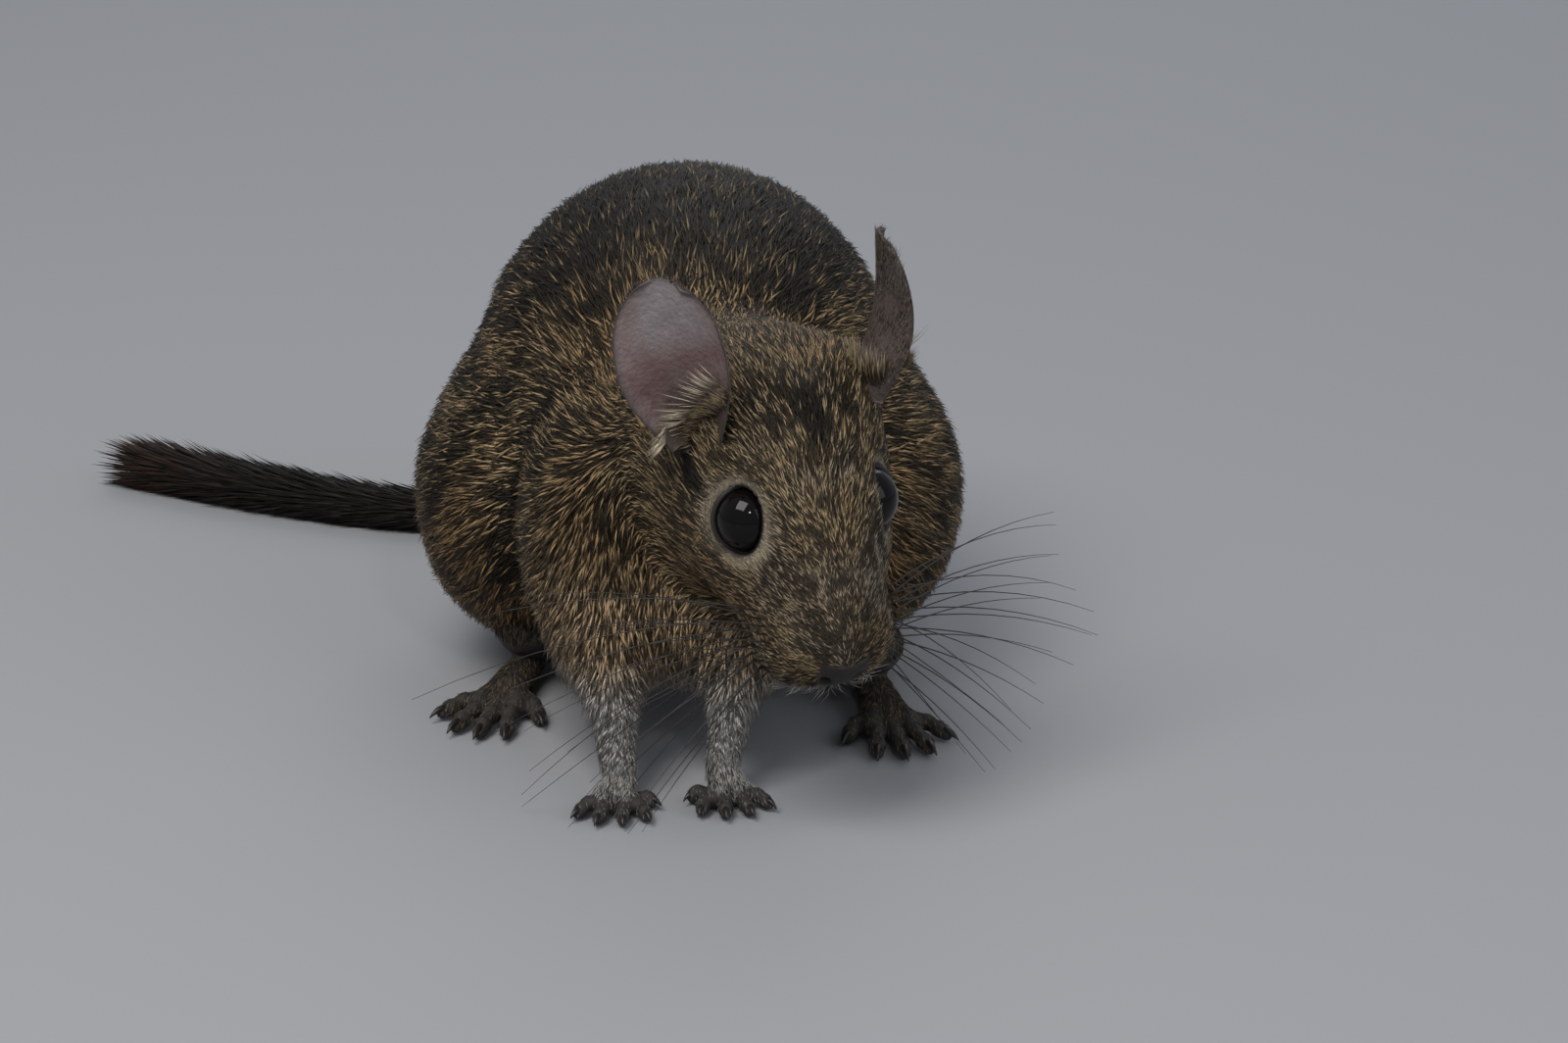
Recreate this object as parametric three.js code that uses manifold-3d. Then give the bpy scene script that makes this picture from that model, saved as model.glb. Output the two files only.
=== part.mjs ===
// A degu at life size, crouching with its back arched, its head low and turned to its left,
// and its brush-tipped tail laid along the floor behind it to its right.
// Millimetres, +Z up. The animal faces -Y, +X is its left side, and its soles lie on z = 0.
import * as THREE from 'three';
import { mergeVertices } from 'three/addons/utils/BufferGeometryUtils.js';
import Module from 'manifold-3d';

const wasm = await Module();
wasm.setup();

// Driving dimensions
const GAP = 0.3; // between neighbouring parts
const BODY_HALF_WIDTH = 42;
const BACK_HEIGHT = 76;
const BODY_LENGTH = 92; // chest to rump
const HEAD = { at: [17.0, -49, 46.9], yaw: 24, pitch: 45, roll: 2 }; // point between the eyes
const HEAD_LENGTH = 50;
const EYE = { radius: 4.6, forward: 1.0, side: 9.0, up: -0.1, opening: 4.2, lid: 0.9 };
const EAR = { length: 21.5, halfWidth: 9.2, thickness: 1.0, cup: 3.6 };
const FOREPAW = { width: 8.5, toe: 4.6, toeHalf: 1.2, claw: 2.1 };
const HINDFOOT = { length: 36, width: 9.5, toe: 8.6, toeHalf: 1.5, claw: 3.2 };
const TAIL = { rootRadius: 3.4, tipRadius: 1.5, brush: 3.4, lock: 10, lockWidth: 2.6, rows: 6, perRow: 6 };
const WHISKER = { thickness: 0.5, tip: 0.16, perSide: 12 };
const CENTRE = [-21.235, 12.491]; // middle of the whole outline on the floor, which becomes the origin

// Vectors and turns
const vec = (x, y, z) => new THREE.Vector3(x, y, z);
const mix = (a, b, t) => a + (b - a) * t;
const rad = THREE.MathUtils.degToRad;

// An animal's own directions for a heading (yaw to its left), a lowered nose (pitch) and a tilt.
function directions({ yaw, pitch, roll }) {
  const [y, p, r] = [rad(yaw), rad(pitch), rad(roll)];
  const forward = vec(Math.sin(y) * Math.cos(p), -Math.cos(y) * Math.cos(p), -Math.sin(p));
  const level = vec(Math.cos(y), Math.sin(y), 0);
  const left = level
    .clone()
    .multiplyScalar(Math.cos(r))
    .addScaledVector(forward.clone().cross(level), Math.sin(r));
  return { forward, left, up: forward.clone().cross(left) };
}

const headAxes = directions(HEAD);

// A point given as forward, left and up of the point between the eyes.
function inHead(forward, left, up) {
  return vec(...HEAD.at)
    .addScaledVector(headAxes.forward, forward)
    .addScaledVector(headAxes.left, left)
    .addScaledVector(headAxes.up, up);
}

function headDirection(forward, left, up) {
  return inHead(forward, left, up).sub(vec(...HEAD.at)).normalize();
}

// The body's surface: soft unions of egg-shaped masses
const bodyAxes = directions({ yaw: 0, pitch: 0, roll: 0 });

function mass(at, size, blend, axes = bodyAxes) {
  return { at, size, blend, axes };
}

// Sizes are half lengths along forward, left and up.
function trunkMasses() {
  const hip = BODY_HALF_WIDTH - 19;
  const masses = [
    mass(vec(-1, 17, BACK_HEIGHT - 33.5), [BODY_LENGTH / 2 - 2, 33, 33.5], 8),
    mass(vec(0, 10, 27), [40, 29, 21], 8),
    mass(vec(2, -17, 34), [22, 24, 24], 9),
    mass(vec(-1, -25, 22), [13, 17, 11], 8),
    mass(vec(8, -27, 50), [17, 18, 17], 10),
  ];
  for (const side of [-1, 1]) {
    const thigh = directions({ yaw: side * 10, pitch: -8, roll: 0 });
    masses.push(mass(vec(side * hip - 0.5, 15, 27), [29, 19, 23.5], 7, thigh));
    masses.push(mass(vec(side * 14 + 1, -22, 31), [14, 11, 18], 8));
    masses.push(mass(vec(side * 9.5 - 2.5, -30, 19), [8, 7.5, 9.5], 6));
  }
  return masses;
}

function headMasses() {
  const place = (f, l, u, size, blend, tilt = 0) => {
    const axes = tilt ? directions({ ...HEAD, pitch: HEAD.pitch + tilt }) : headAxes;
    return mass(inHead(f, l, u), size, blend, axes);
  };
  const masses = [
    place(-8, 0, 0, [16.5, 13.5, 11.5], 6),
    place(7, 0, -1.5, [16, 9.3, 9.3], 6, 14),
    place(HEAD_LENGTH / 2 - 7.5, 0, -7.5, [7.6, 6.4, 6.2], 5),
    place(4, 0, -12.5, [14, 8.5, 7], 6),
    place(16, 0, -14.5, [6, 4.6, 4.2], 3),
  ];
  for (const side of [-1, 1]) {
    masses.push(place(15.5, side * 5, -9, [7.5, 5.8, 6.2], 3.5));
    masses.push(place(-2.5, side * 8, -8, [13.5, 6.9, 9], 6));
    masses.push(place(-0.5, side * 6.2, 2.4, [7.5, 4.3, 4.4], 4));
    masses.push(place(-15.5, side * 8.5, 3.6, [6, 4.2, 4.4], 5));
  }
  return masses;
}

const trunk = trunkMasses();
const skull = headMasses();

// About how far p lies outside one mass, negative inside.
function outsideMass(p, { at, size, axes }) {
  let near = 0;
  let steep = 0;
  const [x, y, z] = [p.x - at.x, p.y - at.y, p.z - at.z];
  for (let i = 0; i < 3; i++) {
    const a = i === 0 ? axes.forward : i === 1 ? axes.left : axes.up;
    const v = (x * a.x + y * a.y + z * a.z) / size[i];
    near += v * v;
    steep += (v / size[i]) ** 2;
  }
  const k = Math.sqrt(near);
  return steep < 1e-12 ? -Math.min(...size) : (k * (k - 1)) / Math.sqrt(steep);
}

function softUnion(a, b, blend) {
  const h = Math.max(blend - Math.abs(a - b), 0) / blend;
  return Math.min(a, b) - (h * h * blend) / 4;
}

function outsideAll(p, masses) {
  let d = 1e3;
  for (const m of masses) d = softUnion(d, outsideMass(p, m), m.blend);
  return d;
}

// The hollows the eyes stand in, taken softly out of the head
const orbits = [-1, 1].map((side) =>
  mass(inHead(EYE.forward + 1.4, side * (EYE.side + 4.2), EYE.up + 3.1), [5.6, 3.8, 5], 2.6, headAxes),
);

function outsideHead(p) {
  let d = outsideAll(p, skull);
  for (const orbit of orbits) d = -softUnion(-d, outsideMass(p, orbit), orbit.blend);
  return d;
}

const HEAD_TO_TRUNK_BLEND = 8;
const outsideBody = (p) => softUnion(outsideAll(p, trunk), outsideHead(p), HEAD_TO_TRUNK_BLEND);

// How far the surface lies from a point inside it, along one direction.
function reach(from, way, outside, grown) {
  const at = (r) => outside(from.clone().addScaledVector(way, r)) - grown;
  let far = 1;
  while (at(far) < 0 && far < 120) far += 1;
  let near = far - 1;
  for (let i = 0; i < 14; i++) {
    const middle = (near + far) / 2;
    if (at(middle) < 0) near = middle;
    else far = middle;
  }
  return (near + far) / 2;
}

// Meshes the surface where outside(p) is grown, within a box, one point to a crossed cell.
function surface(outside, low, high, cell, grown = 0) {
  const n = [0, 1, 2].map((i) => Math.ceil((high[i] - low[i]) / cell) + 1);
  const place = (i, j, k) => vec(low[0] + i * cell, low[1] + j * cell, low[2] + k * cell);
  const id = (i, j, k) => (i * n[1] + j) * n[2] + k;
  const edge = (i, j, k) => [i, j, k].some((v, axis) => v === 0 || v === n[axis] - 1);
  const field = (p) => outside(p) - grown;
  const values = new Float64Array(n[0] * n[1] * n[2]);
  const each = (size, visit) => {
    for (let i = 0; i < size[0]; i++) {
      for (let j = 0; j < size[1]; j++) {
        for (let k = 0; k < size[2]; k++) visit(i, j, k);
      }
    }
  };
  each(n, (i, j, k) => {
    const value = field(place(i, j, k));
    values[id(i, j, k)] = edge(i, j, k) ? Math.max(value, cell * 0.5) : value;
  });
  const corners = [0, 1, 2, 3, 4, 5, 6, 7].map((c) => [c & 1, (c >> 1) & 1, (c >> 2) & 1]);
  const points = [];
  const pointOf = new Int32Array(values.length).fill(-1);
  each(n.map((v) => v - 1), (i, j, k) => {
    const at = corners.map(([a, b, c]) => values[id(i + a, j + b, k + c)]);
    const inside = at.filter((v) => v < 0).length;
    if (inside === 0 || inside === 8) return;
    const sum = vec(0, 0, 0);
    let crossings = 0;
    for (let c = 0; c < 8; c++) {
      for (const bit of [1, 2, 4]) {
        const d = c | bit;
        if (d === c || at[c] < 0 === at[d] < 0) continue;
        const [from, to] = [corners[c], corners[d]];
        const share = at[c] / (at[c] - at[d]);
        sum.add(place(...[i, j, k].map((v, axis) => v + mix(from[axis], to[axis], share))));
        crossings += 1;
      }
    }
    const p = sum.divideScalar(crossings);
    const onEdge = corners.some(([a, b, c]) => edge(i + a, j + b, k + c));
    pointOf[id(i, j, k)] = points.length;
    points.push(onEdge ? p : settle(p, field));
  });
  const faces = [];
  const quad = (a, b, c, d, flip) => {
    const [p, q, r, s] = [a, b, c, d].map((v) => points[v]);
    const short = p.distanceTo(r) < q.distanceTo(s);
    const split = short ? [a, b, c, a, c, d] : [b, c, d, b, d, a];
    faces.push(...(flip ? split.reverse() : split));
  };
  each(n.map((v) => v - 1), (i, j, k) => {
    const here = values[id(i, j, k)] < 0;
    const at = (a, b, c) => pointOf[id(i - a, j - b, k - c)];
    if (here !== values[id(i + 1, j, k)] < 0) quad(at(0, 1, 1), at(0, 0, 1), at(0, 0, 0), at(0, 1, 0), !here);
    if (here !== values[id(i, j + 1, k)] < 0) quad(at(1, 0, 1), at(1, 0, 0), at(0, 0, 0), at(0, 0, 1), !here);
    if (here !== values[id(i, j, k + 1)] < 0) quad(at(1, 1, 0), at(0, 1, 0), at(0, 0, 0), at(1, 0, 0), !here);
  });
  return meshSolid(points, faces);
}

// Moves a point near a surface onto it.
function settle(p, field) {
  const step = 0.02;
  for (let i = 0; i < 2; i++) {
    const value = field(p);
    const slope = vec(
      field(p.clone().add(vec(step, 0, 0))) - value,
      field(p.clone().add(vec(0, step, 0))) - value,
      field(p.clone().add(vec(0, 0, step))) - value,
    ).divideScalar(step);
    p.addScaledVector(slope, -value / Math.max(slope.lengthSq(), 0.2));
  }
  return p;
}

// Closed solids
function solidOf(geometry) {
  const bare = geometry.clone();
  for (const name of ['normal', 'uv']) bare.deleteAttribute(name);
  const merged = mergeVertices(bare, 1e-4);
  return new wasm.Manifold(
    new wasm.Mesh({
      numProp: 3,
      vertProperties: merged.attributes.position.array,
      triVerts: new Uint32Array(merged.index.array),
    }),
  );
}

// A closed solid of points and the corners of its faces, turned right side out.
function meshSolid(points, faces) {
  const geometry = new THREE.BufferGeometry();
  const numbers = new Float32Array(points.flatMap((p) => p.toArray()));
  geometry.setAttribute('position', new THREE.BufferAttribute(numbers, 3));
  geometry.setIndex(faces);
  const solid = solidOf(geometry);
  if (solid.volume() > 0) return solid;
  geometry.setIndex(faces.reverse());
  return solidOf(geometry);
}

function geometryOf(solid) {
  const mesh = solid.getMesh();
  return new THREE.BufferGeometry()
    .setAttribute('position', new THREE.BufferAttribute(mesh.vertProperties, 3))
    .setIndex(new THREE.BufferAttribute(mesh.triVerts, 1));
}

const largest = (solid) =>
  solid.decompose().reduce((best, s) => (s.volume() > best.volume() ? s : best));

// Skins a list of rings, each with the same number of points, from the first cap to the last.
function loft(rings, firstCap, lastCap) {
  const around = rings[0].length;
  const points = [...rings.flat(), firstCap, lastCap];
  const [first, last] = [points.length - 2, points.length - 1];
  const faces = [];
  const corner = (i, k) => i * around + (k % around);
  for (let k = 0; k < around; k++) {
    faces.push(first, corner(0, k + 1), corner(0, k));
    faces.push(last, corner(rings.length - 1, k), corner(rings.length - 1, k + 1));
    for (let i = 0; i + 1 < rings.length; i++) {
      faces.push(corner(i, k), corner(i, k + 1), corner(i + 1, k + 1));
      faces.push(corner(i, k), corner(i + 1, k + 1), corner(i + 1, k));
    }
  }
  return meshSolid(points, faces);
}

// All the space on the far side of a plane, seen along the way it faces.
function behind(plane, shift = 0) {
  const size = 300;
  const { forward, left, up } = directions(plane);
  const turn = new THREE.Matrix4().makeBasis(forward, left, up);
  turn.setPosition(plane.at.clone().addScaledVector(forward, -size / 2 - shift));
  return solidOf(new THREE.BoxGeometry(size, size, size).applyMatrix4(turn));
}

const belowFloor = solidOf(new THREE.BoxGeometry(400, 400, 40).translate(0, 0, -20));

function egg(at, size, axes, detail = [20, 14]) {
  const turn = new THREE.Matrix4().makeBasis(axes.forward, axes.left, axes.up).setPosition(at);
  const ball = new THREE.SphereGeometry(1, ...detail).scale(...size);
  return solidOf(ball.applyMatrix4(turn));
}

// A rounded limb through stations of a place and two half sizes, across and along its second way.
function limb(stations, sides, across) {
  const curve = new THREE.CatmullRomCurve3(stations.map((s) => vec(...s.at)), false, 'centripetal');
  const last = stations.length - 1;
  const rings = stations.map((s, i) => {
    const along = curve.getTangent(i / last).normalize();
    const wide = across.clone().addScaledVector(along, -across.dot(along)).normalize();
    const high = along.clone().cross(wide);
    return Array.from({ length: sides }, (_, k) => {
      const turn = (2 * Math.PI * k) / sides;
      return vec(...s.at)
        .addScaledVector(wide, s.wide * Math.cos(turn))
        .addScaledVector(high, s.high * Math.sin(turn));
    });
  });
  return loft(rings, vec(...stations[0].at), vec(...stations[last].at));
}

// The same stations with more between them, on smooth curves.
function denser(stations, steps) {
  const last = stations.length - 1;
  const places = new THREE.CatmullRomCurve3(stations.map((s) => vec(...s.at)), false, 'centripetal');
  const sizes = new THREE.CatmullRomCurve3(
    stations.map((s, i) => vec(i * 2, s.wide, s.high)),
    false,
    'centripetal',
  );
  return Array.from({ length: steps + 1 }, (_, i) => {
    const size = sizes.getPoint(i / steps);
    return { at: places.getPoint(i / steps).toArray(), wide: size.y, high: size.z };
  });
}

const station = (at, wide, high = wide) => ({ at: Array.isArray(at) ? at : at.toArray(), wide, high });

const join = (pieces) => pieces.reduce((all, piece) => all.add(piece));

// Where the body is parted: behind the whisker pads, from nape to throat, under the jaw, and
// from the withers to the top of the chest
const planes = {
  muzzle: { ...HEAD, at: inHead(9.5, 0, -5) },
  nape: { at: vec(9.5, -32.5, 50), yaw: 12, pitch: 6, roll: 3 },
  jaw: { at: inHead(0, 0, -19.5), yaw: HEAD.yaw, pitch: HEAD.pitch - 90, roll: 0 },
  withers: { at: vec(4, -25, 48), yaw: 4, pitch: -20, roll: 0 },
};

// The body's lengths, each a little longer than its part, so the planes can cut it square
const lengths = {
  muzzle: (grown) => surface(outsideBody, [4, -82, 12], [45, -42, 50], 1.75, grown),
  head: (grown) => surface(outsideBody, [-12, -66, 16], [42, -27, 74], 2.62, grown),
  neck: (grown) => surface(outsideBody, [-26, -48, 4], [36, -14, 76], 3.4, grown),
  trunk: (grown) => surface(outsideBody, [-49, -48, -6], [49, 68, 82], 5.4, grown),
};
const solids = Object.fromEntries(Object.entries(lengths).map(([name, made]) => [name, made(0)]));

// The body a gap larger, which clears what grows out of it
const wholeGrown = join(Object.values(lengths).map((made) => made(GAP)));

// Eyes: a ball in a socket, under an upper and a lower lid
const sides = { right: -1, left: 1 };

// Where an eye looks, with the way up, and the third way that makes a right-handed set.
function eyeAt(side) {
  const at = inHead(EYE.forward, side * EYE.side, EYE.up);
  const out = headDirection(0.35, side * 0.75, 0.56);
  const front = headDirection(1, -side * 0.2, -0.36);
  const high = front.clone().cross(out).multiplyScalar(-side).normalize();
  return { at, axes: { forward: high.clone().cross(out), left: high, up: out } };
}

const eyeball = (side) => eggOfEye(side, EYE.radius);

function eggOfEye(side, size, detail = [14, 10]) {
  const { at, axes } = eyeAt(side);
  return egg(at, [size, size, size], axes, detail);
}

// A dome of skin over the ball, opened by a lens-shaped slit whose corners are the eye's corners.
function lidDome(side) {
  const { at, axes } = eyeAt(side);
  const half = EYE.opening;
  const slit = new THREE.Shape();
  const to = (x, y) => [-side * x * half, y * half];
  slit.moveTo(...to(-1.18, -0.08));
  slit.quadraticCurveTo(...to(-0.8, 1.2), ...to(0, 1.04));
  slit.quadraticCurveTo(...to(0.9, 0.9), ...to(1.22, -0.3));
  slit.quadraticCurveTo(...to(0.7, -1.1), ...to(0, -1.04));
  slit.quadraticCurveTo(...to(-0.85, -0.95), ...to(-1.18, -0.08));
  const hole = new THREE.ExtrudeGeometry(slit, { depth: 10, bevelEnabled: false, curveSegments: 5 });
  const turn = new THREE.Matrix4().makeBasis(axes.forward, axes.left, axes.up).setPosition(at);
  return {
    dome: eggOfEye(side, EYE.radius + GAP + EYE.lid, [18, 12]),
    hole: solidOf(hole.applyMatrix4(turn)),
  };
}

const socketOf = (side) => eggOfEye(side, EYE.radius + GAP);

// Ears: thin cups with a broad, slightly squared top
// The right ear is turned to the front and the left one to its side.
const ears = {
  right: { root: [-13.5, -13, 3.6], along: [-0.73, -0.24, 0.64], opening: [0.45, -0.62, 0.64] },
  left: { root: [-15.5, 10.5, 5.6], along: [-0.73, 0.35, 0.59], opening: [0.3, 0.95, -0.05] },
};

function earAxes(side) {
  const { along: up, opening: out } = ears[side < 0 ? 'right' : 'left'];
  const along = headDirection(...up);
  const opening = headDirection(...out);
  const across = opening.clone().cross(along).normalize().multiplyScalar(side);
  return { along, across, opening: along.clone().cross(across).normalize().multiplyScalar(side) };
}

// Half the ear's width at a share of its length.
function earWidth(share) {
  const widest = 0.46;
  if (share < widest) return mix(0.6, 1, Math.sin((share / widest) * (Math.PI / 2)));
  return (1 - ((share - widest) / (1.004 - widest)) ** 2.7) ** 0.5;
}

function earPoint(side, share, v) {
  const { along, across, opening } = earAxes(side);
  const root = inHead(...ears[side < 0 ? 'right' : 'left'].root);
  const width = EAR.halfWidth * earWidth(share);
  const cup = EAR.cup * (1.25 - 0.75 * share) * v * v + 1.6 * Math.sin(share * Math.PI) - 2.2 * share * share;
  const lean = v > 0 ? -1.8 * share * v : 0;
  return root
    .addScaledVector(along, EAR.length * share + lean)
    .addScaledVector(across, width * v * (1 - 0.12 * v * v))
    .addScaledVector(opening, cup);
}

function ear(side) {
  const [rows, columns] = [10, 8];
  const points = [];
  const upTo = (i) => mix(-0.12, 0.965, 1 - Math.max(1 - i / rows, 0) ** 1.35);
  const at = (i, j) => earPoint(side, upTo(i), mix(-1, 1, j / columns));
  for (const face of [1, -1]) {
    for (let i = 0; i <= rows; i++) {
      for (let j = 0; j <= columns; j++) {
        const p = at(i, j);
        const du = at(i + 0.05, j).sub(at(i - 0.05, j));
        const dv = at(i, j + 0.05).sub(at(i, j - 0.05));
        const normal = du.cross(dv).normalize();
        const half = (EAR.thickness / 2) * mix(1, 0.6, i / rows);
        points.push(p.addScaledVector(normal, face * half));
      }
    }
  }
  const faces = [];
  const layer = (rows + 1) * (columns + 1);
  const corner = (face, i, j) => face * layer + i * (columns + 1) + j;
  const quad = (a, b, c, d) => faces.push(a, b, c, a, c, d);
  for (let i = 0; i < rows; i++) {
    for (let j = 0; j < columns; j++) {
      quad(corner(0, i, j), corner(0, i, j + 1), corner(0, i + 1, j + 1), corner(0, i + 1, j));
      const back = [corner(1, i, j), corner(1, i + 1, j), corner(1, i + 1, j + 1), corner(1, i, j + 1)];
      faces.push(back[0], back[2], back[3], back[0], back[1], back[2]);
    }
    quad(corner(0, i, 0), corner(0, i + 1, 0), corner(1, i + 1, 0), corner(1, i, 0));
    quad(corner(0, i + 1, columns), corner(0, i, columns), corner(1, i, columns), corner(1, i + 1, columns));
  }
  for (let j = 0; j < columns; j++) {
    quad(corner(0, 0, j + 1), corner(0, 0, j), corner(1, 0, j), corner(1, 0, j + 1));
    quad(corner(0, rows, j), corner(0, rows, j + 1), corner(1, rows, j + 1), corner(1, rows, j));
  }
  return largest(meshSolid(points, faces).subtract(wholeGrown));
}

// Muzzle: nostrils, mouth and whiskers
function nostril(side) {
  const axes = directions({ ...HEAD, yaw: HEAD.yaw + side * 40, pitch: HEAD.pitch - 10 });
  return egg(inHead(HEAD_LENGTH / 2 - 0.4, side * 2.3, -7.6), [2.3, 0.6, 1.1], axes, [10, 8]);
}

// A point on the head's surface, met from a place on the head's axis going out to one side and down.
function onMuzzle(forward, height, left, up) {
  const from = inHead(forward, 0, height);
  const way = headDirection(0, left, up);
  return from.addScaledVector(way, reach(from, way, outsideHead, 0));
}

// The slit between the lips, with the cleft that runs up to the nose.
function mouthCut() {
  const mouth = [];
  for (const turn of [-1, -0.72, -0.4, 0, 0.4, 0.72, 1]) {
    const back = Math.abs(turn) ** 1.6 * 8;
    mouth.push(onMuzzle(21 - back, -9, turn * 1.5, -1.15));
  }
  const cleft = [0, 0.5, 1].map((t) => onMuzzle(mix(21.3, 23.9, t), -9, 0.001, -1));
  const cut = (points, half, steps) =>
    limb(
      denser(points.map((p) => station(p, half)), steps),
      6,
      headAxes.up,
    );
  return join([cut(mouth, 0.42, 12), cut(cleft, 0.3, 3)]);
}

// One whisker: a thin curved spine from a place on the whisker pad out to its tip.
function whisker(root, way, length, droop) {
  const steps = 4;
  const start = root.clone().addScaledVector(way, -2.2);
  const stations = Array.from({ length: steps + 1 }, (_, i) => {
    const share = i / steps;
    const at = start
      .clone()
      .addScaledVector(way, (length + 2.2) * share)
      .add(vec(0, 0, -droop * share * share));
    const half = mix(WHISKER.thickness, WHISKER.tip, share) / 2;
    return station(at, half * 1.15);
  });
  return limb(stations, 3, headAxes.up);
}

// Whiskers fan out of four rows on each pad: the upper ones back and up, the lower ones forward and down.
function whiskers(side) {
  const all = [];
  for (let i = 0; i < WHISKER.perSide; i++) {
    const row = i % 4;
    const place = Math.floor(i / 4) / 3;
    const root = onMuzzle(mix(19, 12.5, place), -8, side, mix(0.25, -0.7, row / 3));
    const spread = mix(26, -34, row / 3) + 5 * Math.sin(i * 2.4);
    const sweep = mix(-4, 30, place) + 4 * Math.cos(i * 1.7);
    const heading = rad(HEAD.yaw + side * (90 - sweep * -1));
    const level = vec(Math.sin(heading), -Math.cos(heading), 0);
    const way = level.multiplyScalar(Math.cos(rad(spread))).add(vec(0, 0, Math.sin(rad(spread))));
    const room = (root.z - 2) / Math.max(-way.z, 0.05);
    const length = Math.min(mix(24, 42, place) + 4 * Math.sin(i * 3.1), room * 0.8);
    const droop = Math.min(length * 0.16, Math.max(0, root.z + way.z * length - 1.5));
    all.push(whisker(root, way, length, droop));
  }
  return all;
}

function muzzle() {
  const front = solids.muzzle
    .subtract(behind(planes.muzzle))
    .subtract(behind(planes.jaw, GAP / 2));
  const cut = front.subtract(join([mouthCut(), nostril(-1), nostril(1)]));
  return largest(join([cut, ...whiskers(-1), ...whiskers(1)]).subtract(belowFloor));
}

function head() {
  let solid = solids.head
    .intersect(behind(planes.muzzle, GAP))
    .subtract(behind(planes.nape))
    .subtract(behind(planes.jaw));
  for (const side of [-1, 1]) {
    const { dome, hole } = lidDome(side);
    solid = solid.add(dome).subtract(socketOf(side)).subtract(hole);
  }
  return largest(solid);
}

// What lies behind the head: the space past the nape, and the space under the jaw.
const behindHead = behind(planes.nape, GAP).add(behind(planes.jaw, GAP));

const neck = () => largest(solids.neck.intersect(behindHead).subtract(behind(planes.withers)));

// Haunches: the outer masses of the trunk, parted by an egg-shaped cut
function haunchCutter(side, grown) {
  const axes = directions({ yaw: side * 10, pitch: -8, roll: 0 });
  const size = [30, 17, 24.5].map((s) => s + grown);
  return egg(vec(side * (BODY_HALF_WIDTH - 9.5) - 0.5, 15, 27), size, axes, [24, 16]);
}

const haunch = (side) => largest(solids.trunk.intersect(haunchCutter(side, 0)));

function torso() {
  let solid = solids.trunk.intersect(behindHead).intersect(behind(planes.withers, GAP));
  for (const side of [-1, 1]) solid = solid.subtract(haunchCutter(side, GAP));
  return largest(solid);
}

// Feet: a flat-soled foot, toes that arch forward, and a curved claw on each
function toe(root, way, length, half, claw) {
  const down = (share, height) => root.clone().addScaledVector(way, length * share).setZ(height);
  const finger = limb(
    denser(
      [
        station(down(-0.35, half), half * 0.8),
        station(down(0.1, half * 1.15), half * 1.02),
        station(down(0.55, half * 1.1), half),
        station(down(0.9, half * 0.85), half * 1.02),
        station(down(1.05, half * 0.75), half * 0.6),
      ],
      4,
    ),
    6,
    vec(-way.y, way.x, 0),
  );
  const nail = limb(
    [
      station(down(0.86, half * 1.15), half * 0.55),
      station(down(1.0, half * 1.25).addScaledVector(way, claw * 0.25), half * 0.5),
      station(down(1.0, half * 0.95).addScaledVector(way, claw * 0.7), half * 0.34),
      station(down(1.0, half * 0.4).addScaledVector(way, claw), half * 0.13),
    ],
    4,
    vec(-way.y, way.x, 0),
  );
  return finger.add(nail);
}

const heading = (degrees) => vec(Math.sin(rad(degrees)), -Math.cos(rad(degrees)), 0);

// A paw's toes in a fan: each has a place across the paw, a length share and a turn outwards.
function toeFan(at, facing, width, toes, size) {
  const across = heading(facing + 90);
  return toes.map(({ place, share, turn, back = 0 }) => {
    const root = at
      .clone()
      .addScaledVector(across, place * width)
      .addScaledVector(heading(facing), -back);
    const claw = size.claw * mix(0.75, 1, share);
    return toe(root, heading(facing + turn), size.toe * share, size.toeHalf, claw);
  });
}

const forepaws = {
  right: { wrist: vec(-9.8, -46.5, 5.4), facing: -6, elbow: vec(-12.3, -30, 24) },
  left: { wrist: vec(5.2, -44, 5.4), facing: 14, elbow: vec(8.3, -29.5, 24) },
};

function forepaw(name) {
  const { wrist, facing } = forepaws[name];
  const side = sides[name];
  const way = heading(facing);
  const across = heading(facing + 90);
  const palmAt = (along, height) => wrist.clone().addScaledVector(way, along).setZ(height);
  const wide = FOREPAW.width / 2;
  const palm = limb(
    denser(
      [
        station(palmAt(-0.6, 6.1), 2.4, 2.2),
        station(palmAt(0.6, 4.4), 2.9, 2.6),
        station(palmAt(2.6, 2.6), wide * 0.86, 2.5),
        station(palmAt(4.6, 1.7), wide * 0.98, 2.2),
        station(palmAt(6.2, 1.3), wide * 0.8, 1.5),
      ],
      5,
    ),
    10,
    across,
  );
  const toes = [
    { place: -0.4, share: 0.82, turn: -26, back: 0.8 },
    { place: -0.14, share: 1.0, turn: -8 },
    { place: 0.14, share: 1.0, turn: 8 },
    { place: 0.4, share: 0.82, turn: 26, back: 0.8 },
    { place: -side * 0.44, share: 0.35, turn: -side * 62, back: 3.4 },
  ];
  const fan = toeFan(palmAt(4.9, 0), facing, FOREPAW.width, toes, FOREPAW);
  return largest(join([palm, ...fan]).subtract(belowFloor).subtract(aboveWrist(name, GAP)));
}

// Everything above the wrist's plane, which lies across the forearm.
function aboveWrist(name, grown) {
  const { wrist, elbow } = forepaws[name];
  const along = elbow.clone().sub(wrist).normalize();
  const size = 60;
  const turn = new THREE.Matrix4().lookAt(along, vec(0, 0, 0), vec(1, 0, 0));
  turn.setPosition(wrist.clone().addScaledVector(along, size / 2 - grown));
  return solidOf(new THREE.BoxGeometry(size, size, size).applyMatrix4(turn));
}

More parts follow.
